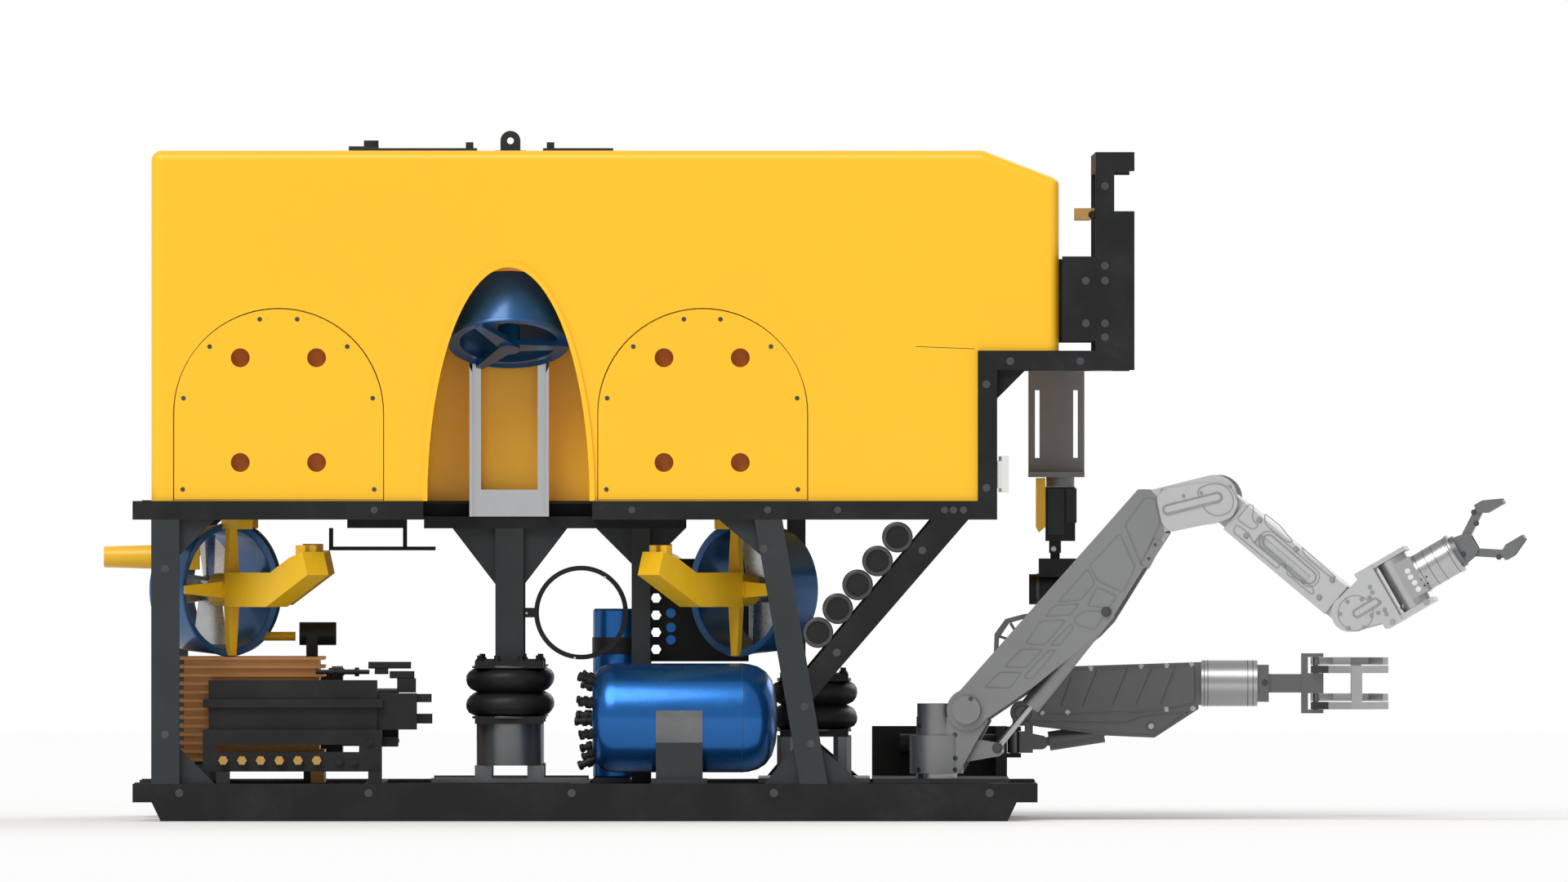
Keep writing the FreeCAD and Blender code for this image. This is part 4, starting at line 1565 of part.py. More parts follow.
doc.recompute()
failed = [thing.Name for thing in doc.Objects if "Invalid" in thing.State or "Error" in thing.State]
if failed:
    raise RuntimeError("objects that failed: " + ", ".join(failed))
for thing in NODES:
    if thing.Shape.isNull() or not thing.Shape.isValid():
        raise RuntimeError("bad shape: " + thing.Label)

os.makedirs("parts", exist_ok=True)
for thing in NODES:
    thing.Shape.exportStep("parts/%s.step" % thing.Label)
print("%d sub-parts written" % len(NODES))
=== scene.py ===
import bpy
import bmesh
import json
import math
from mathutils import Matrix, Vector
from mathutils.bvhtree import BVHTree

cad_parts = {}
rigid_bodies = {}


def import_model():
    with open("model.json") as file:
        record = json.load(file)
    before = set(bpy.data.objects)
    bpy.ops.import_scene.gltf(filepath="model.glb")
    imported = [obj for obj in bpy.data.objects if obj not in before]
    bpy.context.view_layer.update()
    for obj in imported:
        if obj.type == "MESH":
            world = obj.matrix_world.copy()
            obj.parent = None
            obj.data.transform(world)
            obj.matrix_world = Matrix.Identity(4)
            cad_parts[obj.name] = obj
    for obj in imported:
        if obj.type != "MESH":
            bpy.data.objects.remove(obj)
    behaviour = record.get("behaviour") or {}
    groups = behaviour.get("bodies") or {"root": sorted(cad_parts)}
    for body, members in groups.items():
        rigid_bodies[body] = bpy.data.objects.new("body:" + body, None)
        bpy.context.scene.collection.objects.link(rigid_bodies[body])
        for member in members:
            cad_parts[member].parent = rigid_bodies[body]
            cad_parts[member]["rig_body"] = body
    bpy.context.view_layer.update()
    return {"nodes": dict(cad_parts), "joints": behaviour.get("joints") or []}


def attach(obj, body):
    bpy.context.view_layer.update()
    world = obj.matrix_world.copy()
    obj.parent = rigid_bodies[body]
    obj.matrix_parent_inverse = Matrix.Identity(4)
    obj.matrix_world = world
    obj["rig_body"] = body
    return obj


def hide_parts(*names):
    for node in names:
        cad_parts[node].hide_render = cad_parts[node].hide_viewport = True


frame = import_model()
nodes = frame["nodes"]
scene = bpy.context.scene
print("frame loaded:", len(nodes), "nodes")

# one shader group: stain in blotches and fine grain, used by every finish


def makeGroup(name, inputs, outputs):
    group = bpy.data.node_groups.new(name, "ShaderNodeTree")
    for label, kind, value in inputs:
        socket = group.interface.new_socket(label, in_out="INPUT", socket_type=kind)
        socket.default_value = value
    for label, kind in outputs:
        group.interface.new_socket(label, in_out="OUTPUT", socket_type=kind)
    return group, group.nodes.new("NodeGroupInput"), group.nodes.new("NodeGroupOutput")


def addNoise(tree, source, coordinate, scale, detail=4.0):
    noise = tree.nodes.new("ShaderNodeTexNoise")
    noise.inputs["Detail"].default_value = detail
    tree.links.new(coordinate, noise.inputs["Vector"])
    if isinstance(scale, (int, float)):
        noise.inputs["Scale"].default_value = scale
    else:
        tree.links.new(scale, noise.inputs["Scale"])
    return noise.outputs[source]


def addMath(tree, operation, first, second, third=None):
    step = tree.nodes.new("ShaderNodeMath")
    step.operation = operation
    for index, value in enumerate((first, second, third)):
        if value is None:
            continue
        if isinstance(value, (int, float)):
            step.inputs[index].default_value = value
        else:
            tree.links.new(value, step.inputs[index])
    return step.outputs[0]


def mixColor(tree, factor, first, second):
    mix = tree.nodes.new("ShaderNodeMix")
    mix.data_type = "RGBA"
    for socket, value in ((mix.inputs["Factor"], factor), (mix.inputs["A"], first),
                          (mix.inputs["B"], second)):
        if isinstance(value, (int, float, tuple, list)):
            socket.default_value = value
        else:
            tree.links.new(value, socket)
    return mix.outputs["Result"]


def surfaceGroup():
    group, given, result = makeGroup("SurfaceWear", (
        ("Color", "NodeSocketColor", (0.5, 0.5, 0.5, 1)), ("Stain", "NodeSocketColor", (0.3, 0.3, 0.3, 1)),
        ("Stain Share", "NodeSocketFloat", 0.2), ("Blotch Scale", "NodeSocketFloat", 3.0),
        ("Grain Scale", "NodeSocketFloat", 400.0), ("Roughness", "NodeSocketFloat", 0.5),
        ("Roughness Spread", "NodeSocketFloat", 0.1)),
        (("Color", "NodeSocketColor"), ("Roughness", "NodeSocketFloat"), ("Height", "NodeSocketFloat")))
    where = group.nodes.new("ShaderNodeTexCoord").outputs["Object"]
    blotch = addNoise(group, "Fac", where, given.outputs["Blotch Scale"], 6.0)
    fine = addNoise(group, "Fac", where, given.outputs["Grain Scale"], 3.0)
    middle = addNoise(group, "Fac", where, addMath(group, "MULTIPLY", given.outputs["Blotch Scale"], 9.0),
                      5.0)
    mask = addMath(group, "SMOOTH_MIN", addMath(group, "MULTIPLY", addMath(group, "SUBTRACT", blotch, 0.42),
                                                4.0), 1.0, 0.1)
    mask = addMath(group, "MAXIMUM", mask, 0.0)
    mask = addMath(group, "MULTIPLY", mask, middle)
    share = addMath(group, "MULTIPLY", mask, given.outputs["Stain Share"])
    group.links.new(mixColor(group, share, given.outputs["Color"], given.outputs["Stain"]),
                    result.inputs["Color"])
    swing = addMath(group, "MULTIPLY", addMath(group, "SUBTRACT", middle, 0.5),
                    given.outputs["Roughness Spread"])
    group.links.new(addMath(group, "ADD", given.outputs["Roughness"], swing), result.inputs["Roughness"])
    group.links.new(addMath(group, "ADD", fine, addMath(group, "MULTIPLY", middle, 0.4)),
                    result.inputs["Height"])
    return group


wearGroup = surfaceGroup()

finishes = {
    "foamYellow": dict(
        color=(1.0, 0.54, 0.006), stain=(0.86, 0.42, 0.005),
        share=0.2, blotch=1.6, grain=260, rough=0.38, spread=0.06, metal=0.0, bump=0.02, coat=0.25),
    "frameBlack": dict(
        color=(0.010, 0.0105, 0.0115), stain=(0.03, 0.031, 0.033),
        share=0.8, blotch=7, grain=520, rough=0.55, spread=0.16, metal=0.0, bump=0.12, coat=0.0),
    "postGrey": dict(
        color=(0.032, 0.037, 0.040), stain=(0.055, 0.06, 0.063),
        share=0.5, blotch=5, grain=480, rough=0.5, spread=0.12, metal=0.0, bump=0.08, coat=0.0),
    "nozzleBlue": dict(
        color=(0.012, 0.095, 0.27), stain=(0.008, 0.06, 0.19),
        share=0.5, blotch=4, grain=380, rough=0.3, spread=0.08, metal=0.35, bump=0.03, coat=0.3),
    "bottleBlue": dict(
        color=(0.012, 0.13, 0.42), stain=(0.006, 0.075, 0.28),
        share=0.6, blotch=3, grain=600, rough=0.26, spread=0.1, metal=0.75, bump=0.03, coat=0.2),
    "motorYellow": dict(
        color=(0.9, 0.53, 0.012), stain=(0.7, 0.36, 0.01),
        share=0.4, blotch=6, grain=300, rough=0.36, spread=0.08, metal=0.0, bump=0.05, coat=0.2),
    "bladeSteel": dict(
        color=(0.62, 0.63, 0.64), stain=(0.45, 0.46, 0.48),
        share=0.5, blotch=8, grain=300, rough=0.28, spread=0.1, metal=0.9, bump=0.04, coat=0.0),
    "polishedSteel": dict(
        color=(0.62, 0.63, 0.64), stain=(0.5, 0.51, 0.53),
        share=0.4, blotch=6, grain=700, rough=0.24, spread=0.1, metal=1.0, bump=0.0, coat=0.0),
    "rubberBlack": dict(
        color=(0.012, 0.012, 0.013), stain=(0.03, 0.03, 0.03),
        share=0.4, blotch=9, grain=420, rough=0.42, spread=0.12, metal=0.0, bump=0.05, coat=0.0),
    "boxBlack": dict(
        color=(0.018, 0.018, 0.019), stain=(0.04, 0.04, 0.042),
        share=0.6, blotch=8, grain=520, rough=0.42, spread=0.12, metal=0.2, bump=0.06, coat=0.0),
    "copperFin": dict(
        color=(0.5, 0.24, 0.085), stain=(0.3, 0.13, 0.05),
        share=0.7, blotch=6, grain=300, rough=0.42, spread=0.12, metal=0.6, bump=0.05, coat=0.0),
    "brassFitting": dict(
        color=(0.62, 0.36, 0.12), stain=(0.4, 0.2, 0.06),
        share=0.5, blotch=10, grain=500, rough=0.3, spread=0.1, metal=0.95, bump=0.02, coat=0.0),
    "armGrey": dict(
        color=(0.27, 0.275, 0.28), stain=(0.2, 0.2, 0.205),
        share=0.45, blotch=7, grain=620, rough=0.4, spread=0.1, metal=0.75, bump=0.05, coat=0.0),
    "armPale": dict(
        color=(0.52, 0.525, 0.53), stain=(0.42, 0.42, 0.43),
        share=0.3, blotch=7, grain=620, rough=0.4, spread=0.08, metal=0.5, bump=0.01, coat=0.0),
    "grabberGrey": dict(
        color=(0.17, 0.175, 0.18), stain=(0.24, 0.245, 0.25),
        share=0.5, blotch=9, grain=600, rough=0.42, spread=0.12, metal=0.7, bump=0.05, coat=0.0),
    "turnedSteel": dict(
        color=(0.5, 0.5, 0.51), stain=(0.4, 0.4, 0.41),
        share=0.4, blotch=9, grain=700, rough=0.3, spread=0.06, metal=1.0, bump=0.0, coat=0.0),
    "darkSteel": dict(
        color=(0.09, 0.09, 0.095), stain=(0.16, 0.16, 0.165),
        share=0.5, blotch=9, grain=600, rough=0.34, spread=0.1, metal=0.85, bump=0.04, coat=0.0),
    # darker orange standing in for the shade inside the foam sockets: painted shade
    "recessOrange": dict(
        color=(0.62, 0.2, 0.005), stain=(0.4, 0.12, 0.004),
        share=0.4, blotch=9, grain=300, rough=0.5, spread=0.1, metal=0.0, bump=0.03, coat=0.0),
    "bracketGrey": dict(
        color=(0.19, 0.195, 0.20), stain=(0.23, 0.235, 0.24),
        share=0.5, blotch=6, grain=500, rough=0.42, spread=0.1, metal=0.3, bump=0.03, coat=0.0),
    "standSteel": dict(
        color=(0.17, 0.18, 0.185), stain=(0.3, 0.31, 0.32),
        share=0.6, blotch=7, grain=500, rough=0.34, spread=0.12, metal=0.8, bump=0.02, coat=0.0),
    "ribGrey": dict(
        color=(0.33, 0.335, 0.34), stain=(0.27, 0.27, 0.275),
        share=0.3, blotch=9, grain=500, rough=0.4, spread=0.05, metal=0.5, bump=0.0, coat=0.0),
    "lampWhite": dict(
        color=(0.72, 0.73, 0.7), stain=(0.6, 0.6, 0.58),
        share=0.3, blotch=9, grain=300, rough=0.3, spread=0.08, metal=0.0, bump=0.02, coat=0.3),
}


def makeFinish(name, color, stain, share, blotch, grain, rough, spread, metal, bump, coat):
    material = bpy.data.materials.new(name)
    material.use_nodes = True
    tree = material.node_tree
    shader = tree.nodes["Principled BSDF"]
    wear = tree.nodes.new("ShaderNodeGroup")
    wear.node_tree = wearGroup
    for label, value in (("Color", (*color, 1)), ("Stain", (*stain, 1)), ("Stain Share", share),
                         ("Blotch Scale", blotch), ("Grain Scale", grain), ("Roughness", rough),
                         ("Roughness Spread", spread)):
        wear.inputs[label].default_value = value
    tree.links.new(wear.outputs["Color"], shader.inputs["Base Color"])
    tree.links.new(wear.outputs["Roughness"], shader.inputs["Roughness"])
    relief = tree.nodes.new("ShaderNodeBump")
    relief.inputs["Strength"].default_value = min(1.0, bump * 4)
    relief.inputs["Distance"].default_value = 0.0006
    tree.links.new(wear.outputs["Height"], relief.inputs["Height"])
    tree.links.new(relief.outputs["Normal"], shader.inputs["Normal"])
    shader.inputs["Metallic"].default_value = metal
    shader.inputs["Coat Weight"].default_value = coat
    shader.inputs["Coat Roughness"].default_value = 0.15
    shader.inputs["Specular IOR Level"].default_value = 0.5 if max(color) > 0.05 else 0.22
    return material


material = {name: makeFinish(name, **values) for name, values in finishes.items()}

nodeFinish = {
    "foamYellow": ["foam_pack", "access_covers"],
    "frameBlack": ["top_frame", "skid_frame", "skid_runners", "front_frame", "diagonal_struts"],
    "postGrey": ["bay_posts", "arm_porch", "bottle_saddles", "deck_gear"],
    "bracketGrey": ["camera_bracket"],
    "standSteel": ["shock_mount_stands"],
    "nozzleBlue": ["thruster_nozzles", "vertical_thruster_motors"],
    "bottleBlue": ["pressure_bottles"],
    "motorYellow": ["horizontal_thruster_motors", "tail_boom"],
    "bladeSteel": [name for name in nodes if name.startswith("propeller_")],
    "polishedSteel": ["vertical_thruster_brackets"],
    "rubberBlack": ["shock_bellows"],
    "boxBlack": ["valve_pack", "terminal_panel", "bay_hangers", "accumulator_bottles", "camera_pan_unit",
                 "camera_tilt_head", "rear_camera", "bottle_connectors", "hydraulic_power_unit"],
    "copperFin": ["oil_cooler"],
    "brassFitting": ["manifold_fittings"],
    "armGrey": ["upper_arm", "arm_slew_housing", "arm_lift_barrel"],
    "armPale": ["forearm", "wrist_pitch_link"],
    "grabberGrey": ["grabber_boom", "grabber_swing", "grabber_lift_barrel", "gripper_palm",
                    "finger_link_upper",
                    "finger_link_lower", "finger_tip_upper", "finger_tip_lower", "jaw_carrier"],
    "turnedSteel": ["wrist_yaw_block", "grabber_wrist", "arm_lift_rod", "grabber_lift_rod", "arm_slew_base",
                    "claw_starboard", "claw_port"],
    "lampWhite": ["flood_lamps"],
}
for finish, names in nodeFinish.items():
    for name in names:
        nodes[name].data.materials.clear()
        nodes[name].data.materials.append(material[finish])


def paintFaces(name, finish, inside):
    mesh = nodes[name].data
    mesh.materials.append(material[finish])
    index = len(mesh.materials) - 1
    for face in mesh.polygons:
        if inside(face.center):
            face.material_index = index


# the arm stands slewed a little outward, so its near plates lie in a turned plane
armPlane = dict(x=0.331, y=-0.480, cosine=0.9903, sine=0.1392)


def armDepth(spot):
    return -((spot.x - armPlane["x"]) * armPlane["sine"] + (spot.y - armPlane["y"]) * armPlane["cosine"])


paintFaces("shock_mount_stands", "boxBlack",
           lambda spot: spot.z > 0.40 or 0.252 < spot.z < 0.2785 and spot.x < -0.5)
paintFaces("shock_mount_stands", "boxBlack",
           lambda spot: spot.x > -0.5 and (spot.z > 0.365 or 0.215 < spot.z < 0.2425))
paintFaces("upper_arm", "armPale", lambda spot: spot.x > 0.93 and abs(armDepth(spot)) > 0.0555)
print("finishes:", len(material))

# landing rays: the point of a node's surface that faces one side at a given place

trees = {}


def treeOf(name):
    if name not in trees:
        mesh = nodes[name].data
        trees[name] = BVHTree.FromPolygons([v.co for v in mesh.vertices], [p.vertices for p in mesh.polygons])
    return trees[name]


def land(x, z, names, side=-1):
    best = None
    for name in names:
        spot, normal, _, reach = treeOf(name).ray_cast(Vector((x, 3.0 * side, z)), Vector((0, -side, 0)))
        if spot and (best is None or reach < best[0]):
            best = (reach, spot, normal, name)
    return best


def islands(name):
    solid = bmesh.new()
    solid.from_mesh(nodes[name].data)
    bmesh.ops.remove_doubles(solid, verts=solid.verts, dist=1e-5)
    waiting, boxes = set(solid.verts), []
    while waiting:
        stack, found = [waiting.pop()], []
        while stack:
            vert = stack.pop()
            found.append(vert.co.copy())
            for edge in vert.link_edges:
                other = edge.other_vert(vert)
                if other in waiting:
                    waiting.remove(other)
                    stack.append(other)
        boxes.append((Vector(map(min, zip(*found))), Vector(map(max, zip(*found)))))
    solid.free()
    return boxes


def bodyOf(name):
    return nodes[name]["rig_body"]


def millimetres(points):
    return [tuple(value / 1000 for value in point) for point in points]


# bolts and screws: one node group sets a washer and a head on every point


def makeBoltGroup():
    group = bpy.data.node_groups.new("boltField", "GeometryNodeTree")
    sockets = (("Points", "NodeSocketGeometry"), ("Radius", "NodeSocketFloat"), ("Height", "NodeSocketFloat"),
               ("Sides", "NodeSocketInt"), ("Finish", "NodeSocketMaterial"))
    for label, kind in sockets:
        group.interface.new_socket(label, in_out="INPUT", socket_type=kind)
    group.interface.new_socket("Bolts", in_out="OUTPUT", socket_type="NodeSocketGeometry")
    given, result = group.nodes.new("NodeGroupInput"), group.nodes.new("NodeGroupOutput")
    link = group.links.new
    join = group.nodes.new("GeometryNodeJoinGeometry")
    for sides, width, low, high in ((20, 1.0, 0.0, 0.35), (None, 0.68, 0.3, 1.0)):
        drum = group.nodes.new("GeometryNodeMeshCylinder")
        shift = group.nodes.new("GeometryNodeTransform")
        offset = group.nodes.new("ShaderNodeCombineXYZ")
        if sides:
            drum.inputs["Vertices"].default_value = sides
        else:
            link(given.outputs["Sides"], drum.inputs["Vertices"])
        link(addMath(group, "MULTIPLY", given.outputs["Radius"], width), drum.inputs["Radius"])
        link(addMath(group, "MULTIPLY", given.outputs["Height"], high - low), drum.inputs["Depth"])
        link(addMath(group, "MULTIPLY", given.outputs["Height"], (high + low) / 2), offset.inputs["Z"])
        link(drum.outputs["Mesh"], shift.inputs["Geometry"])
        link(offset.outputs["Vector"], shift.inputs["Translation"])
        link(shift.outputs["Geometry"], join.inputs["Geometry"])
    facing = group.nodes.new("GeometryNodeInputNamedAttribute")
    facing.data_type = "FLOAT_VECTOR"
    facing.inputs["Name"].default_value = "facing"
    align = group.nodes.new("FunctionNodeAlignRotationToVector")
    align.axis = "Z"
    link(facing.outputs["Attribute"], align.inputs["Vector"])
    spread = group.nodes.new("GeometryNodeInstanceOnPoints")
    link(given.outputs["Points"], spread.inputs["Points"])
    link(join.outputs["Geometry"], spread.inputs["Instance"])
    link(align.outputs["Rotation"], spread.inputs["Rotation"])
    real = group.nodes.new("GeometryNodeRealizeInstances")
    paint = group.nodes.new("GeometryNodeSetMaterial")
    link(spread.outputs["Instances"], real.inputs["Geometry"])
    link(real.outputs["Geometry"], paint.inputs["Geometry"])
    link(given.outputs["Finish"], paint.inputs["Material"])
    link(paint.outputs["Geometry"], result.inputs["Bolts"])
    return group


boltGroup = makeBoltGroup()


def addBolts(name, body, spots, radius, height, finish, sides=6):
    cloud = bpy.data.meshes.new(name + "Points")
    cloud.from_pydata([tuple(place) for place, _ in spots], [], [])
    facing = cloud.attributes.new("facing", "FLOAT_VECTOR", "POINT")
    for index, (_, direction) in enumerate(spots):
        facing.data[index].vector = direction
    holder = bpy.data.objects.new(name, cloud)
    scene.collection.objects.link(holder)
    modifier = holder.modifiers.new("field", "NODES")
    modifier.node_group = boltGroup
    values = {"Radius": radius, "Height": height, "Sides": sides, "Finish": material[finish]}
    for socket in boltGroup.interface.items_tree:
        if socket.in_out == "INPUT" and socket.name in values:
            modifier[socket.identifier] = values[socket.name]
    bpy.context.view_layer.update()
    solid = bpy.data.meshes.new_from_object(holder.evaluated_get(bpy.context.evaluated_depsgraph_get()))
    holder.modifiers.remove(modifier)
    holder.data = solid
    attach(holder, body)
    return holder


def boltsOn(name, places, names, radius, height, finish="darkSteel", sides=6, both=False):
    byBody = {}
    for side in ((-1, 1) if both else (-1,)):
        for x, z in millimetres(places):
            hit = land(x, z, names, side)
            if hit:
                byBody.setdefault(bodyOf(hit[3]), []).append((hit[1], hit[2]))
    for body, spots in byBody.items():
        addBolts(name if len(byBody) == 1 else name + body.title(), body, spots, radius, height, finish,
                 sides)


# solids drawn as outlines in a plane, and turned solids


class Sketch:
    def __init__(self, origin, across, up):
        self.origin = Vector(origin)
        self.across = Vector(across).normalized()
        self.up = Vector(up).normalized()
        self.out = self.across.cross(self.up)
        self.mesh = bmesh.new()

    def at(self, x, z, depth):
        return self.origin + self.across * x + self.up * z + self.out * depth

    def loops(self, rings, capFirst, capLast):
        turned = [[self.mesh.verts.new(point) for point in ring] for ring in rings]
        for first, second in zip(turned, turned[1:]):
            for i in range(len(first)):
                j = (i + 1) % len(first)
                self.mesh.faces.new((first[i], first[j], second[j], second[i]))
        if capFirst:
            self.mesh.faces.new(list(reversed(turned[0])))
        if capLast:
            self.mesh.faces.new(turned[-1])

    def plate(self, points, low, high, edge=0.0):
        inner = shrink(points, edge) if edge else points
        rings = [[self.at(x, z, low) for x, z in points], [self.at(x, z, high - edge) for x, z in points]]
        if edge:
            rings.append([self.at(x, z, high) for x, z in inner])
        self.loops(rings, True, True)

    def rib(self, points, width, low, high):
        inner = shrink(points, width)
        chamfer = (high - low) * 0.3
        outerTop, innerTop = shrink(points, chamfer), shrink(points, width - chamfer)
        rings = [(points, low), (points, high - chamfer), (outerTop, high), (innerTop, high),
                 (inner, high - chamfer), (inner, low)]
        self.loops([[self.at(x, z, depth) for x, z in ring] for ring, depth in rings], False, False)
        first = [self.at(x, z, low) for x, z in inner]
        last = [self.at(x, z, low) for x, z in points]
        self.loops([first, last], False, False)

    def strip(self, start, end, width, low, high):
        first, last = Vector(start), Vector(end)
        side = (last - first).normalized().orthogonal() * width / 2
        self.plate([tuple(first + side), tuple(first - side), tuple(last - side), tuple(last + side)], low,
                   high, min(width, high - low) * 0.3)

    def disc(self, x, z, radius, low, high, edge=0.0, sides=32):
        self.plate(circle(x, z, radius, sides), low, high, edge)

    def finish(self, name, finish, body, smooth=True):
        bmesh.ops.remove_doubles(self.mesh, verts=self.mesh.verts, dist=1e-6)
        bmesh.ops.recalc_face_normals(self.mesh, faces=self.mesh.faces)
        return closePiece(self.mesh, name, finish, body, smooth)


def sideSketch(y):
    return Sketch((0, y, 0), (1, 0, 0), (0, 0, 1))


def closePiece(solid, name, finish, body, smooth=True):
    mesh = bpy.data.meshes.new(name)
    solid.to_mesh(mesh)
    solid.free()
    if smooth:
        mesh.polygons.foreach_set("use_smooth", [True] * len(mesh.polygons))
        mesh.set_sharp_from_angle(angle=math.radians(32))
    mesh.materials.append(material[finish])
    holder = bpy.data.objects.new(name, mesh)
    scene.collection.objects.link(holder)
    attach(holder, body)
    return holder


def circle(x, z, radius, sides=32):
    return [(x + radius * math.cos(2 * math.pi * i / sides), z + radius * math.sin(2 * math.pi * i / sides))
            for i in range(sides)]


def oblong(start, end, radius, sides=12):
    first, last = Vector(start), Vector(end)
    lean = math.atan2(last.y - first.y, last.x - first.x)
    points = []
    for centre, begin in ((last, -90), (first, 90)):
        for i in range(sides + 1):
            angle = lean + math.radians(begin + 180 * i / sides)
            points.append((centre.x + radius * math.cos(angle), centre.y + radius * math.sin(angle)))
    return points


def shrink(points, amount):
    area = sum(a[0] * b[1] - b[0] * a[1] for a, b in zip(points, points[1:] + points[:1]))
    sign = 1 if area > 0 else -1
    result = []
    for i, (x, z) in enumerate(points):
        before, after = Vector(points[i - 1]), Vector(points[(i + 1) % len(points)])
        here = Vector((x, z))
        first, second = (here - before).normalized(), (after - here).normalized()
        n1, n2 = Vector((-first.y, first.x)) * sign, Vector((-second.y, second.x)) * sign
        middle = (n1 + n2)
        middle = middle / max(middle.length_squared / 2, 0.4) if middle.length > 1e-6 else n1
        result.append(tuple(here + middle * amount))
    return result


def rounded(points, radius, steps=4):
    result = []
    for i, point in enumerate(points):
        here, before, after = Vector(point), Vector(points[i - 1]), Vector(points[(i + 1) % len(points)])
        back, ahead = (before - here), (after - here)
        reach = min(radius, back.length * 0.45, ahead.length * 0.45)
        first, last = here + back.normalized() * reach, here + ahead.normalized() * reach
        for k in range(steps + 1):
            t = k / steps
            result.append(tuple(first * (1 - t) ** 2 + here * 2 * t * (1 - t) + last * t ** 2))
    return result


def turned(name, foot, axis, profile, finish, body, sides=48, sweep=(0, 360), start=None, closed=False):
    axis = Vector(axis).normalized()
    first = Vector(start) if start else axis.orthogonal()
    first = (first - axis * first.dot(axis)).normalized()
    second = axis.cross(first)
    solid = bmesh.new()
    full = sweep[1] - sweep[0] >= 360
    count = sides if full else sides + 1
    rings = []
    for i in range(count):
        angle = math.radians(sweep[0] + (sweep[1] - sweep[0]) * i / sides)
        spoke = first * math.cos(angle) + second * math.sin(angle)
        rings.append([solid.verts.new(Vector(foot) + axis * along + spoke * radius) for radius,
                      along in profile])
    spans = list(zip(rings, rings[1:] + rings[:1])) if full else list(zip(rings, rings[1:]))
    last = len(profile) if closed else len(profile) - 1
    for a, b in spans:
        for i in range(last):
            j = (i + 1) % len(profile)
            solid.faces.new((a[i], a[j], b[j], b[i]))
    if not full:
        solid.faces.new(rings[0])
        solid.faces.new(list(reversed(rings[-1])))
    elif not closed:
        for index in (0, -1):
            if profile[index][0] > 1e-5:
                solid.faces.new([ring[index] for ring in rings])
    bmesh.ops.remove_doubles(solid, verts=solid.verts, dist=1e-6)
    bmesh.ops.recalc_face_normals(solid, faces=solid.faces)
    return closePiece(solid, name, finish, body)


print("tools ready")


# foam covers: blind round sockets cut into each cover, their walls and floors in a darker orange that is
# painted shade, screws and the dark joint round it

covers = dict(side=0.735, socketRadius=0.0253, socketDepth=0.042, seam=0.0022,
              sockets=[(-1532, 1239), (-1328, 1239), (-1532, 959), (-1328, 959),
              (-399, 1239), (-195, 1239), (-399, 959), (-195, 959)],
              screws=[(-1614, 1269), (-1480, 1342), (-1380, 1342), (-1246, 1269), (-1684, 1131),
                      (-1178, 1131), (-1686, 887), (-1174, 887),
                      (-481, 1269), (-346, 1342), (-248, 1342), (-113, 1269), (-551, 1131), (-43, 1131),
                      (-553, 887), (-41, 887)],
              middles=((-1429, 1091), (-296, 1091)), foot=858, radius=280)


def addCovers():
    blank = bpy.data.objects.new("coverPanels", nodes["access_covers"].data.copy())
    scene.collection.objects.link(blank)
    blank.data.materials.clear()
    blank.data.materials.append(material["foamYellow"])
    depth = covers["socketDepth"]
    for side in (-1, 1):
        solid = Sketch((0, side * covers["side"], 0), (-side, 0, 0), (0, 0, 1))
        for x, z in millimetres(covers["sockets"]):
            solid.disc(-side * x, z, covers["socketRadius"], -depth, 0.01, sides=40)
        # the cutter's darker orange passes to the socket walls and floors: painted shade in the recesses
        cutter = solid.finish("socketCutter", "recessOrange", "vehicle")
        cut = blank.modifiers.new("sockets", "BOOLEAN")
        cut.operation = "DIFFERENCE"
        cut.solver = "EXACT"
        cut.material_mode = "TRANSFER"
        cut.object = cutter
        bpy.context.view_layer.update()
        mesh = bpy.data.meshes.new_from_object(blank.evaluated_get(bpy.context.evaluated_depsgraph_get()))
        blank.modifiers.remove(cut)
        blank.data = mesh
        bpy.data.objects.remove(cutter)
    blank.data.polygons.foreach_set("use_smooth", [False] * len(blank.data.polygons))
    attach(blank, "vehicle")
    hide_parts("access_covers")
    boltsOn("coverScrew", covers["screws"], ["access_covers"], 0.0062, 0.0022, "darkSteel", 12, True)


def addSeams():
    for side in (-1, 1):
        seam = Sketch((0, side * covers["side"], 0), (-side, 0, 0), (0, 0, 1))
        for x, z in millimetres(covers["middles"]):
            rim = covers["radius"] / 1000 + 0.0016
            foot = covers["foot"] / 1000
            arc = [(x + rim * math.cos(a), z + rim * math.sin(a)) for a in
                   (math.pi * i / 40 for i in range(41))]
            outline = [(-side * px, pz) for px, pz in arc + [(x - rim, foot), (x + rim, foot)]]
            seam.rib(outline, covers["seam"], -0.002, 0.0004)
        seam.finish("coverSeam" + ("Port" if side > 0 else "Starboard"), "rubberBlack", "vehicle")


addCovers()
addSeams()
joint = sideSketch(-covers["side"])
joint.strip(*millimetres([(274, 1269), (432, 1263)]), 0.0018, -0.001, 0.0003)
joint.finish("foamJoint", "rubberBlack", "vehicle")
print("foam covers")

# frame: bolt heads on the rails, posts, bumper and nose

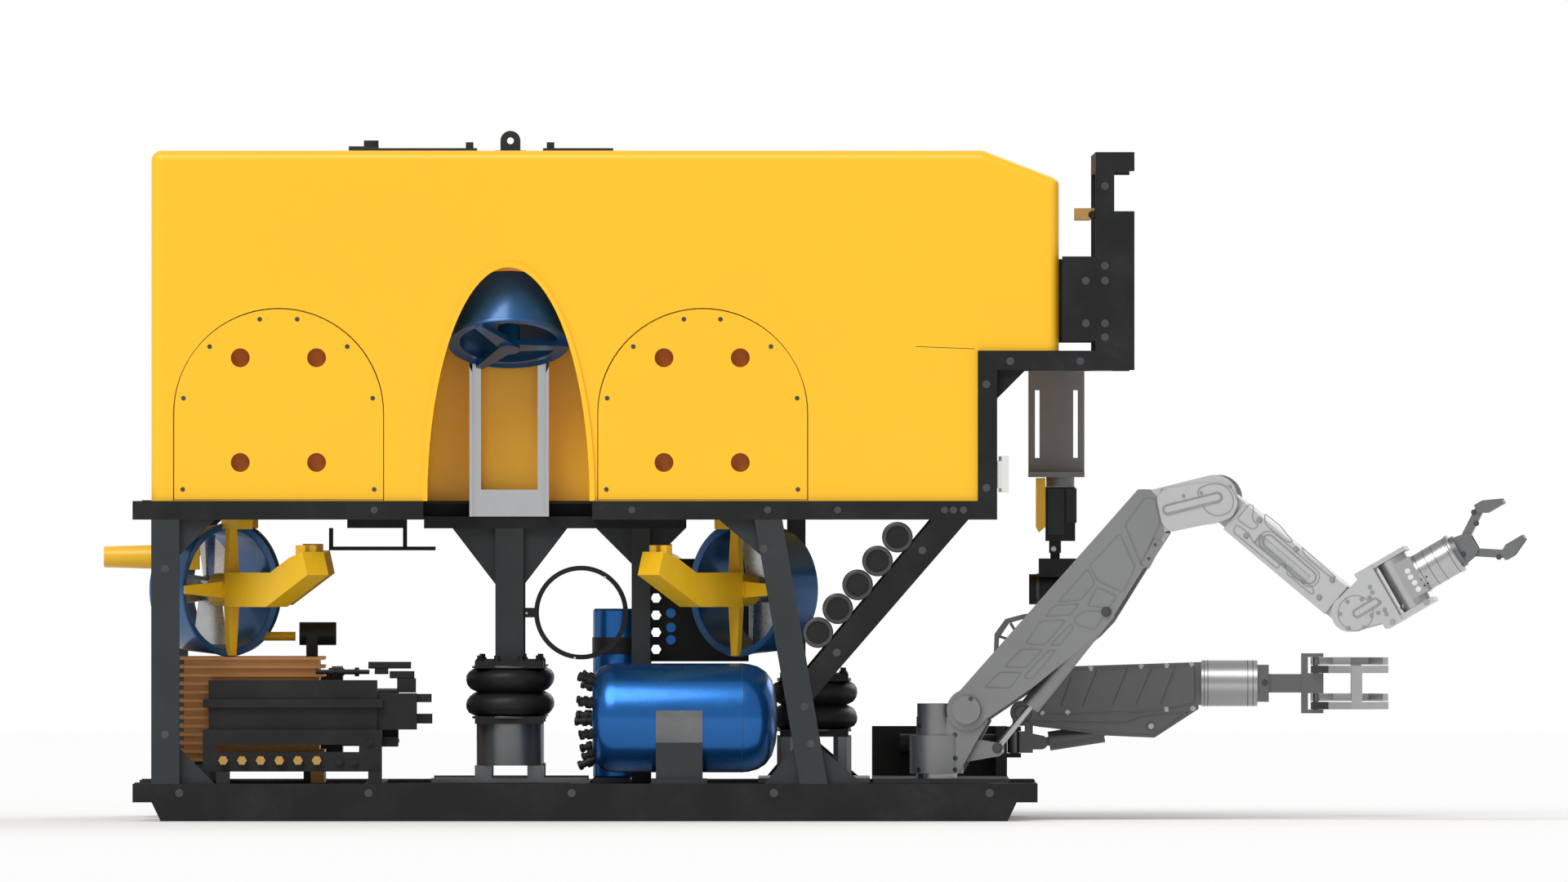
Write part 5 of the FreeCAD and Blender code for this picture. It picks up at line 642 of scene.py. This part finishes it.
frameBolts = dict(
    rail=[(-1174, 832), (-485, 832), (-122, 832), (65, 832), (351, 832), (375, 832), (402, 832)],
    skid=[(-1695, 75), (-1189, 75), (-646, 75), (-105, 75), (472, 75)],
    post=[(-1733, 675), (-1733, 231), (-133, 728), (-23, 306), (-6, 207), (292, 724), (63, 451)],
    nose=[(780, 1698), (780, 1485), (780, 1445), (729, 1445), (780, 1331), (729, 1331), (780, 1294),
          (527, 1230), (714, 1230), (463, 1168), (463, 891)],
)
boltsOn("railBolt", frameBolts["rail"], ["top_frame"], 0.0095, 0.002, "darkSteel", 6, True)
boltsOn("skidBolt", frameBolts["skid"], ["skid_frame"], 0.011, 0.002, "darkSteel", 6, True)
boltsOn("postBolt", frameBolts["post"], ["bay_posts", "diagonal_struts"], 0.0105, 0.002, "darkSteel", 6, True)
boltsOn("noseBolt", frameBolts["nose"], ["front_frame"], 0.0105, 0.002, "darkSteel", 6, True)
boltsOn("bracketBolt", [(-857, 834), (-778, 834)], ["vertical_thruster_brackets"], 0.011, 0.008,
        "polishedSteel", 6, True)
boltsOn("hangerBolt", [(608, 977), (710, 977)], ["camera_bracket"], 0.012, 0.007, "darkSteel")
print("frame bolts")

# rubber bellows with two fat rolls between bolted flanges

bellows = dict(profile=[(72, 0), (94, 2), (108, 9), (115, 20), (116, 32), (113, 44), (105, 55), (93, 61),
                        (86, 64.5), (93, 68), (105, 74), (113, 85), (116, 97), (115, 109), (108, 120),
                        (94, 127), (72, 129)],
               spots=[(-815, -390, 278), (-815, 390, 278), (3, -200, 242), (3, 200, 242)])


def addBellows():
    for index, (x, y, z) in enumerate(bellows["spots"]):
        foot = (x / 1000, y / 1000, z / 1000)
        roll = turned("bellowsRoll%d" % index, foot, (0, 0, 1), millimetres(bellows["profile"]),
                      "rubberBlack", "vehicle", 64)
        if index == 0:
            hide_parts("shock_bellows")
        for step, height in (("Low", -0.006), ("High", 0.129)):
            turned("bellowsFlange%s%d" % (step, index), (foot[0], foot[1], foot[2] + height), (0, 0, 1),
                   [(0.0995, 0), (0.1, 0.001), (0.1, 0.005), (0.0995, 0.006)], "darkSteel", "vehicle")
        addBolts("flangeBolt%d" % index, "vehicle", [
            (Vector((foot[0] + 0.085 * math.cos(a), foot[1] + 0.085 * math.sin(a), foot[2] + 0.149)),
             (0, 0, 1))
            for a in (math.radians(22 + 45 * i) for i in range(8))], 0.011, 0.014, "boxBlack")


addBellows()
print("bellows")

# nozzles: a dark rubbing ring round each mouth and a bright one at the tail

jointOf = {joint["child"]: joint for joint in frame["joints"]}


rims = dict(horizontal=0.177, vertical=0.160)


def addRims():
    for name in nodes:
        if not name.startswith("propeller_"):
            continue
        joint = jointOf[name]
        centre, axis = Vector(joint["pos_m"]), Vector(joint["axis"]).normalized()
        wide = rims["vertical" if "vertical" in name else "horizontal"]
        turned("mouthRing" + name[9:].title().replace("_", ""), centre - axis * 0.004, axis,
               [(wide - 0.014, -0.002), (wide + 0.0015, -0.002), (wide + 0.003, 0.004),
                (wide + 0.0015, 0.010), (wide - 0.014, 0.004)], "nozzleBlue", "vehicle", 72, closed=True)
        turned("spinner" + name[9:].title().replace("_", ""), centre - axis * 0.10, axis,
               [(0.0, -0.012), (0.014, -0.010), (0.024, -0.002), (0.028, 0.012)], "bladeSteel", name, 40)


addRims()
print("nozzles")

# bottles: smooth domed vessel with its glands and strap, and the upright one behind

bottle = dict(foot=(-0.591, -0.590, 0.275), strapAt=0.170, strapWide=0.125,
              profile=[(0, 0), (96, 0), (120, 7), (136, 22), (144, 42), (146, 62), (146, 400), (144.5, 418),
                       (138, 442), (124, 464), (100, 481), (66, 491), (30, 495), (0, 496)],
              gland=[(0, -4), (16, -4), (16, 6), (12, 7), (12, 16), (15, 17), (15, 30), (10, 31), (10, 42),
                     (13, 43), (13, 52), (8, 54), (0, 54)],
              glands=[(20, 108, 0.95), (58, 112, 1.0), (96, 104, 0.8), (134, 108, 0.85), (178, 114, 1.1),
                      (222, 106, 0.9), (262, 110, 1.0), (300, 104, 0.8), (338, 108, 0.9), (70, 48, 0.8),
                      (190, 52, 0.9), (310, 50, 0.7)],
              upright=(-0.516, -0.250, 0.112),
              tank=[(0, 0), (70, 0), (75, 5), (75, 449), (70, 454), (0, 454)])


def addBottles():
    foot = Vector(bottle["foot"])
    vessel = turned("bottleVessel", foot, (1, 0, 0), millimetres(bottle["profile"]), "bottleBlue", "vehicle",
                    96)
    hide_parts("pressure_bottles")
    turned("bottleTank", bottle["upright"], (0, 0, 1), millimetres(bottle["tank"]), "bottleBlue", "vehicle",
           64)
    turned("tankBand", Vector(bottle["upright"]) + Vector((0, 0, 0.332)), (0, 0, 1),
           [(0.0745, 0), (0.0775, 0), (0.0775, 0.045), (0.0745, 0.045)], "boxBlack", "vehicle", 64,
           closed=True)
    for index, (angle, reach, size) in enumerate(bottle["glands"]):
        a = math.radians(angle)
        out = Vector((0, -math.cos(a), math.sin(a)))
        place = foot + out * reach / 1000 + Vector((0.012 if reach > 100 else 0, 0, 0))
        gland = turned("bottleGland%02d" % index, place,
                       Vector((-1, 0, 0)) + out * (0.42 if reach > 100 else 0.12),
                       [(r * size / 1000, h * size / 1000) for r, h in bottle["gland"]], "boxBlack",
                       "vehicle", 20)
        if index == 0:
            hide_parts("bottle_connectors")
    turned("bottleStrap", foot + Vector((bottle["strapAt"], 0, 0)), (1, 0, 0),
           [(0.1460, 0), (0.1490, 0), (0.1490, bottle["strapWide"]), (0.1460, bottle["strapWide"])],
           "standSteel", "vehicle", 40, sweep=(-8, 86), start=(0, -1, 0), closed=True)
    turned("bottleSeam", foot + Vector((0.400, 0, 0)), (1, 0, 0),
           [(0.1455, 0), (0.1465, 0.0005), (0.1465, 0.0025), (0.1455, 0.003)], "nozzleBlue", "vehicle", 96,
           closed=True)


addBottles()
print("bottles")

# small gear in the bays: pipe run and blocks on the valve pack, camera bar, panel plugs, ring holes

gear = dict(
    pipe=[(0, -4), (6, -4), (6, 30), (11, 31), (11, 44), (5, 45), (5, 56), (10, 57), (10, 72), (7, 73),
          (7, 100), (12, 101), (12, 112), (6, 113), (6, 140), (0, 140)],
    blocks=[((-1191, 425), (-1077, 407)), ((-1174, 407), (-1138, 392)), ((-1134, 400), (-1068, 381)),
            ((-1114, 381), (-1064, 343)), ((-1077, 339), (-1022, 317)), ((-1077, 286), (-1020, 260)),
            ((-1156, 222), (-1112, 198)), ((-1207, 213), (-1165, 189))],
    studs=[(-1138, 409), (-1187, 209), (-1130, 209), (-1112, 158), (-1229, 158), (-1268, 158)],
    bluePlugs=[(-382, 554), (-382, 515), (-382, 482)],
    ring=(-644, 559), ringRadius=125,
)


def addGear():
    turned("valvePipe", (-1.328, -0.60, 0.398), (1, 0, 0), millimetres(gear["pipe"]), "boxBlack", "vehicle",
           24)
    blocks = sideSketch(-0.58)
    for low, high in gear["blocks"]:
        (x0, z1), (x1, z0) = millimetres([low, high])
        blocks.plate([(x0, z0), (x1, z0), (x1, z1), (x0, z1)], -0.04, 0.04, 0.002)
    blocks.finish("valveBlocks", "boxBlack", "vehicle")
    boltsOn("valveStud", gear["studs"], ["valve_pack", "oil_cooler", "hydraulic_power_unit"], 0.013, 0.012,
            "boxBlack")
    turned("cameraBar", (-1.60, -0.30, 0.492), (1, 0, 0), [(0, 0), (0.012, 0), (0.012, 0.21), (0, 0.21)],
           "motorYellow", "vehicle", 32)
    boltsOn("panelPlugBlue", gear["bluePlugs"], ["terminal_panel"], 0.013, 0.014, "bottleBlue")
    for index, (low, high) in enumerate(islands("accumulator_bottles")):
        turned("accumulatorRim%d" % index, ((low.x + high.x) / 2, low.y + 0.001, (low.z + high.z) / 2),
               (0, -1, 0),
               [(0.030, 0), (0.0395, 0), (0.0395, 0.004), (0.037, 0.006), (0.032, 0.006), (0.030, 0.004)],
               "darkSteel", "vehicle", 40, closed=True)
    x, z = millimetres([gear["ring"]])[0]
    reach = gear["ringRadius"] / 1000
    for index in range(8):
        a = math.radians(2 + 45 * index)
        hit = land(x + reach * math.cos(a), z + reach * math.sin(a), ["bay_hangers"])
        if hit:
            turned("ringHole%d" % index, hit[1], (0, -1, 0),
                   [(0, 0.0008), (0.0032, 0.0008), (0.0036, -0.001)], "lampWhite", "vehicle", 16)


addGear()
print("bay gear")

# manipulator: everything is drawn in the plane of the arm's near plates


def armSketch():
    return Sketch((armPlane["x"], armPlane["y"], 0), (armPlane["cosine"], -armPlane["sine"], 0), (0, 0, 1))


def armPoints(points, depth):
    return [((x / 1000 - armPlane["x"] + armPlane["sine"] * depth) / armPlane["cosine"], z / 1000)
            for x, z in points]


upperArm = dict(
    pockets=[
        [(888, 867), (916, 865), (931, 796), (877, 684), (833, 793)],
        [(821, 772), (864, 678), (830, 609), (760, 642), (738, 684)],
        [(736, 678), (756, 636), (718, 590), (654, 585)],
        [(760, 629), (817, 601), (793, 570), (732, 574)],
        [(648, 579), (716, 584), (690, 550), (617, 546)],
        [(729, 565), (786, 561), (756, 510), (705, 524), (694, 539)],
        [(610, 537), (681, 539), (622, 469), (566, 473)],
        [(690, 530), (701, 517), (661, 469), (632, 469)],
        [(558, 462), (619, 460), (571, 409), (509, 411)],
        [(630, 458), (654, 458), (588, 378), (560, 383)],
        [(500, 400), (562, 398), (529, 354), (456, 356)],
    ],
    cover=[(918, 867), (940, 889), (1037, 904), (1079, 906), (1121, 889), (1138, 849), (1121, 812),
           (1079, 796), (1037, 790), (952, 772), (932, 796)],
    pad=[(1022, 887), (1066, 906), (1103, 900), (1128, 865), (1121, 827), (1084, 812), (1048, 827)],
    slot=((949, 833), (1081, 866)),
    screws=[(934, 884), (945, 869), (932, 864), (955, 876), (925, 849), (991, 870), (942, 815), (956, 806),
            (971, 801),
            (945, 796), (962, 788), (1000, 822), (1062, 832), (1038, 878), (1115, 895), (1123, 848)],
    studs=[(785, 559)], rail=[(925, 752), (888, 680)], railScrew=[(899, 702), (916, 739)],
)


def addUpperArm():
    near = armSketch()
    for outline in upperArm["pockets"]:
        near.rib(rounded(armPoints(outline, 0.056), 0.010), 0.0034, 0.0552, 0.0578)
    near.finish("upperArmRibs", "armGrey", "arm_upper")
    slab = armSketch()
    slab.plate(rounded(armPoints(upperArm["cover"], 0.062), 0.012), 0.058, 0.0618, 0.0012)
    slab.finish("elbowSlab", "armPale", "arm_upper")
    pad = armSketch()
    slot = armPoints(upperArm["slot"], 0.064)
    pad.rib(oblong(*slot, 0.0145), 0.0032, 0.0615, 0.0655)
    pad.finish("elbowSlot", "ribGrey", "arm_upper")
    bar = armSketch()
    bar.plate(oblong(*slot, 0.0085), 0.0615, 0.0645, 0.001)
    bar.finish("elbowBar", "armPale", "arm_upper")
    cover = armSketch()
    cover.rib(rounded(armPoints(upperArm["pad"], 0.064), 0.02), 0.0026, 0.0615, 0.0635)
    cover.finish("elbowPad", "ribGrey", "arm_upper")
    boltsOn("elbowScrew", upperArm["screws"], ["upper_arm"], 0.0048, 0.0036, "ribGrey", 14)
    boltsOn("armStud", upperArm["studs"], ["upper_arm"], 0.014, 0.012, "darkSteel")
    side = armSketch()
    first, last = armPoints(upperArm["rail"], 0.058)
    side.strip(first, last, 0.026, 0.0555, 0.060)
    side.finish("armSideBar", "armGrey", "arm_upper")
    boltsOn("sideBarScrew", upperArm["railScrew"], ["upper_arm"], 0.006, 0.007, "darkSteel")


addUpperArm()

forearm = dict(
    slot=((1218, 749), (1328, 653)),
    pockets=[
        [(1165, 849), (1180, 843), (1176, 807), (1194, 790), (1176, 777), (1132, 807)],
        [(1207, 825), (1251, 790), (1286, 746), (1268, 744), (1224, 779), (1207, 796)],
        [(1304, 737), (1402, 650), (1385, 651), (1372, 660), (1314, 708)],
        [(1132, 796), (1169, 768), (1176, 748), (1251, 686), (1242, 673), (1176, 728), (1121, 774)],
        [(1270, 673), (1286, 651), (1336, 629), (1341, 609), (1332, 605), (1264, 662)],
    ],
    bolts=[(1194, 805), (1159, 763), (1292, 727), (1258, 681), (1389, 645), (1354, 598)],
)


def addForearm():
    body = armSketch()
    slot = armPoints(forearm["slot"], 0.052)
    body.rib(oblong(*slot, 0.0185), 0.0032, 0.0495, 0.0525)
    body.rib(oblong(*slot, 0.0275), 0.0024, 0.0495, 0.0512)
    for outline in forearm["pockets"]:
        body.rib(rounded(armPoints(outline, 0.052), 0.010), 0.0026, 0.0495, 0.0515)
    body.finish("forearmRibs", "ribGrey", "arm_forearm")
    boltsOn("forearmBolt", forearm["bolts"], ["forearm"], 0.0082, 0.005, "ribGrey")


addForearm()

wrist = dict(
    slot=((1455, 556), (1503, 585)), cover=(1451, 556),
    screws=[(1429, 587), (1409, 554), (1432, 516), (1473, 518), (1493, 550), (1467, 593), (1489, 626),
            (1495, 612), (1511, 557), (1528, 565), (1533, 554), (1515, 585), (1488, 598)],
    buttons=[(1590, 668), (1598, 652), (1609, 637), (1619, 620)],
    dots=[(1627, 646), (1640, 653), (1644, 636), (1635, 630)],
    yokeBolts=[(1614, 590), (1578, 572), (1550, 532), (1640, 585)],
)


def addWrist():
    body = armSketch()
    slot = armPoints(wrist["slot"], 0.058)
    body.rib(oblong(*slot, 0.0125), 0.003, 0.0555, 0.0590)
    bar = armSketch()
    bar.plate(oblong(*slot, 0.0075), 0.0555, 0.0575, 0.0008)
    bar.finish("wristBar", "armPale", "wrist_pitch")
    centre = armPoints([wrist["cover"]], 0.056)[0]
    body.rib(circle(*centre, 0.0485, 48), 0.0022, 0.0555, 0.0572)
    body.finish("wristCover", "ribGrey", "wrist_pitch")
    boltsOn("wristScrew", wrist["screws"], ["wrist_pitch_link"], 0.0058, 0.003, "ribGrey", 16)
    boltsOn("wristButton", wrist["buttons"], ["wrist_yaw_block", "wrist_pitch_link"], 0.0078, 0.003,
            "lampWhite", 20)
    boltsOn("wristDot", wrist["dots"], ["wrist_yaw_block", "wrist_pitch_link"], 0.0028, 0.001, "boxBlack", 12)
    boltsOn("yokeBolt", wrist["yokeBolts"], ["wrist_pitch_link", "wrist_yaw_block"], 0.0085, 0.006,
            "turnedSteel")


addWrist()


def addActuatorRings():
    joint = jointOf["gripper"]
    centre, axis = Vector(joint["pos_m"]), Vector(joint["axis"]).normalized()
    for index, back in enumerate((0.104, 0.078, 0.052, 0.014)):
        turned("actuatorRing%d" % index, centre - axis * back, axis,
               [(0.0505, -0.001), (0.0524, -0.0008), (0.0524, 0.0008), (0.0505, 0.001)], "darkSteel",
               "wrist_yaw", 64, closed=True)
    turned("actuatorLip", centre - axis * 0.010, axis,
           [(0.044, 0), (0.0535, 0), (0.0540, 0.002), (0.0540, 0.007), (0.0525, 0.009), (0.044, 0.009)],
           "turnedSteel", "wrist_yaw", 64, closed=True)


addActuatorRings()
boltsOn("fingerPin", [(1731, 769), (1739, 714), (1774, 796), (1836, 728), (1834, 706), (1767, 826)],
        ["gripper_palm", "finger_link_upper", "finger_link_lower", "finger_tip_upper", "finger_tip_lower"],
        0.0075, 0.004,
        "darkSteel", 16)
print("manipulator")

# shoulder housing: screws on it and a bolt at the eye below

boltsOn("shoulderScrew", [(422, 326)], ["upper_arm", "arm_slew_housing"], 0.006, 0.003, "darkSteel")
boltsOn("housingScrew", [(380, 260), (380, 229), (380, 167), (380, 136), (287, 255), (283, 136)],
        ["arm_slew_housing"], 0.0065, 0.005, "darkSteel")
boltsOn("eyeScrew", [(494, 194)], ["arm_slew_housing", "upper_arm", "arm_lift_rod"], 0.0145, 0.01,
        "darkSteel")

# hose guard behind the arm's root: an arc on three spokes

guard = dict(arc=[(485, 444), (487, 499), (516, 539), (564, 552), (608, 557)],
             inner=[(496, 444), (498, 488), (525, 528), (569, 541), (608, 543)],
             spokes=[((498, 493), (538, 480)), ((529, 528), (551, 493)), ((586, 546), (578, 506))],
             depth=-0.052)


def addGuard():
    frameArc = armSketch()
    points = armPoints(guard["arc"] + list(reversed(guard["inner"])), guard["depth"])
    frameArc.plate(points, guard["depth"] - 0.006, guard["depth"] + 0.006, 0.001)
    for start, end in guard["spokes"]:
        first, last = armPoints([start, end], guard["depth"])
        frameArc.strip(first, last, 0.007, guard["depth"] - 0.004, guard["depth"] + 0.004)
    hub = armPoints([(560, 480)], guard["depth"])[0]
    frameArc.disc(*hub, 0.030, guard["depth"] - 0.02, guard["depth"] + 0.012, 0.003)
    frameArc.finish("hoseGuard", "grabberGrey", "arm_upper")


addGuard()

# grabber boom: raised ribs, rim and screws on its near plate

grabber = dict(
    outline=[(694, 399), (1022, 412), (1035, 407), (1037, 306), (945, 286), (886, 282), (604, 273)],
    ribs=[((773, 400), (732, 299)), ((855, 405), (813, 301)), ((921, 407), (877, 304)),
          ((984, 409), (943, 304)), ((701, 378), (674, 301))],
    bolts=[(752, 401), (888, 407), (957, 409), (1024, 412), (1028, 293), (956, 291), (689, 282), (620, 280)],
    belly=[(571, 260), (850, 257), (892, 275), (940, 279), (1020, 286), (927, 218), (837, 220), (604, 244)],
    eye=(915, 245), root=(565, 282), depth=0.389,
)


def addGrabber():
    near = sideSketch(grabber["depth"])
    near.rib(rounded(millimetres(grabber["outline"]), 0.012), 0.0045, -0.0005, 0.0025)
    for start, end in grabber["ribs"]:
        first, last = millimetres([start, end])
        near.strip(first, last, 0.0060, -0.0005, 0.0028)
    near.rib(rounded(millimetres(grabber["belly"]), 0.010), 0.0045, -0.0005, 0.0022)
    root = millimetres([grabber["root"]])[0]
    near.rib(circle(*root, 0.030), 0.004, -0.0005, 0.004)
    near.rib(circle(*root, 0.020), 0.003, -0.0005, 0.005)
    eye = millimetres([grabber["eye"]])[0]
    near.rib(circle(*eye, 0.013), 0.005, -0.0005, 0.003)
    near.finish("boomRibs", "grabberGrey", "boom")
    pale = sideSketch(grabber["depth"])
    pale.disc(*eye, 0.0078, -0.0005, 0.0004)
    pale.finish("boomEye", "lampWhite", "boom")
    boltsOn("boomBolt", grabber["bolts"], ["grabber_boom"], 0.0072, 0.003, "turnedSteel", 16)
    axis = Vector((1, 0, 0))
    for index, x in enumerate((1.058, 1.068, 1.176, 1.190)):
        turned("boomRing%d" % index, (x, 0.430, 0.361), axis,
               [(0.0605, -0.001), (0.0632, -0.0008), (0.0632, 0.0008), (0.0605, 0.001)], "darkSteel", "boom",
               64, closed=True)


addGrabber()
boltsOn("jawBolt", [(1240, 400), (1240, 328), (1222, 363)],
        ["jaw_carrier"], 0.009, 0.003, "darkSteel")
print("grabber")

# camera, lamp and the fitting behind the bumper


cameraTrim = dict(
    side=-0.038, axisHeight=0.617, bands=(("cameraBand", 0.60), ("cameraBandFront", 0.69)),
    bandProfile=[(0.039, 0), (0.0425, 0.001), (0.0425, 0.009), (0.039, 0.010)],
    stripe=[(600, 917), (626, 917), (626, 785), (608, 770), (600, 785)],
    rearCover=[(632, 889), (676, 889), (676, 763), (632, 763)],
    frontCover=[(681, 889), (710, 889), (710, 796), (681, 796)],
)


def addCamera():
    for name, x in cameraTrim["bands"]:
        turned(name, (x, 0, cameraTrim["axisHeight"]), (1, 0, 0), cameraTrim["bandProfile"], "darkSteel",
               "camera_tilt", 56, closed=True)
    strip = sideSketch(cameraTrim["side"])
    strip.plate(millimetres(cameraTrim["stripe"]), -0.0005, 0.0024, 0.0006)
    strip.finish("panStripe", "motorYellow", "camera_pan")
    body = sideSketch(cameraTrim["side"])
    body.plate(millimetres(cameraTrim["rearCover"]), -0.0005, 0.004, 0.001)
    body.plate(millimetres(cameraTrim["frontCover"]), -0.0005, 0.0035, 0.001)
    body.finish("panCover", "postGrey", "camera_pan")


addCamera()
boltsOn("panScrew", [(626, 726), (648, 726)], ["camera_pan_unit", "camera_tilt_head"], 0.007, 0.004,
        "turnedSteel")

fittings = dict(side=-0.70, lamp=[(496, 972), (522, 977), (522, 880), (507, 884)],
                bumper=[(698, 1639), (754, 1639), (754, 1610), (736, 1606), (698, 1606)], knob=(747, 1621))


def addFittings():
    face = sideSketch(fittings["side"])
    face.plate(millimetres(fittings["lamp"]), 0.0, 0.018, 0.002)
    face.finish("lampFace", "lampWhite", "vehicle")
    tan = sideSketch(fittings["side"])
    tan.plate(millimetres(fittings["bumper"]), 0.0, 0.02, 0.002)
    tan.finish("bumperFitting", "brassFitting", "vehicle")
    tip = sideSketch(fittings["side"])
    tip.disc(*millimetres([fittings["knob"]])[0], 0.011, 0.0, 0.03, 0.002)
    tip.finish("bumperFittingKnob", "boxBlack", "vehicle")


addFittings()
print("camera and fittings")


# studio: pale floor and backdrop, two soft lamps and a plain world

studio = dict(floorSize=60.0, floorColor=(0.9, 0.9, 0.9, 1), keyPower=1.9, fillPower=0.8, worldLevel=0.52)


def addStudio():
    bpy.ops.mesh.primitive_plane_add(size=studio["floorSize"], location=(0, 0, -0.0005))
    floor = bpy.context.object
    floor.name = "studioFloor"
    pale = bpy.data.materials.new("paleFloor")
    pale.use_nodes = True
    shader = pale.node_tree.nodes["Principled BSDF"]
    shader.inputs["Base Color"].default_value = studio["floorColor"]
    shader.inputs["Roughness"].default_value = 0.9
    floor.data.materials.append(pale)
    for name, angles, power in (("keyLamp", (42, 0, -28), studio["keyPower"]),
                                ("fillLamp", (60, 0, 150), studio["fillPower"])):
        lamp = bpy.data.lights.new(name, "SUN")
        lamp.energy = power
        lamp.angle = math.radians(40)
        holder = bpy.data.objects.new(name, lamp)
        holder.rotation_euler = [math.radians(a) for a in angles]
        scene.collection.objects.link(holder)
    world = bpy.data.worlds.new("studioWorld")
    scene.world = world
    world.use_nodes = True
    tree = world.node_tree
    back = tree.nodes["Background"]
    back.inputs["Color"].default_value = (1, 1, 1, 1)
    path = tree.nodes.new("ShaderNodeLightPath")
    anySight = tree.nodes.new("ShaderNodeMath")
    anySight.operation = "MAXIMUM"
    tree.links.new(path.outputs["Is Camera Ray"], anySight.inputs[0])
    tree.links.new(path.outputs["Is Transmission Ray"], anySight.inputs[1])
    level = tree.nodes.new("ShaderNodeMapRange")
    level.inputs["To Min"].default_value = studio["worldLevel"]
    level.inputs["To Max"].default_value = 1.0
    tree.links.new(anySight.outputs[0], level.inputs["Value"])
    tree.links.new(level.outputs["Result"], back.inputs["Strength"])


sight = dict(lens=850.0, distance=99.73, x=-0.0781, z=1.0164)


def addSight():
    camera = bpy.data.cameras.new("studioCamera")
    camera.lens = sight["lens"]
    camera.sensor_width = 36.0
    camera.clip_end = 400.0
    holder = bpy.data.objects.new("studioCamera", camera)
    holder.location = (sight["x"], -sight["distance"], sight["z"])
    holder.rotation_euler = (math.radians(90), 0, 0)
    scene.collection.objects.link(holder)
    scene.camera = holder


addStudio()
addSight()
scene.view_settings.view_transform = "Standard"
print("studio ready")
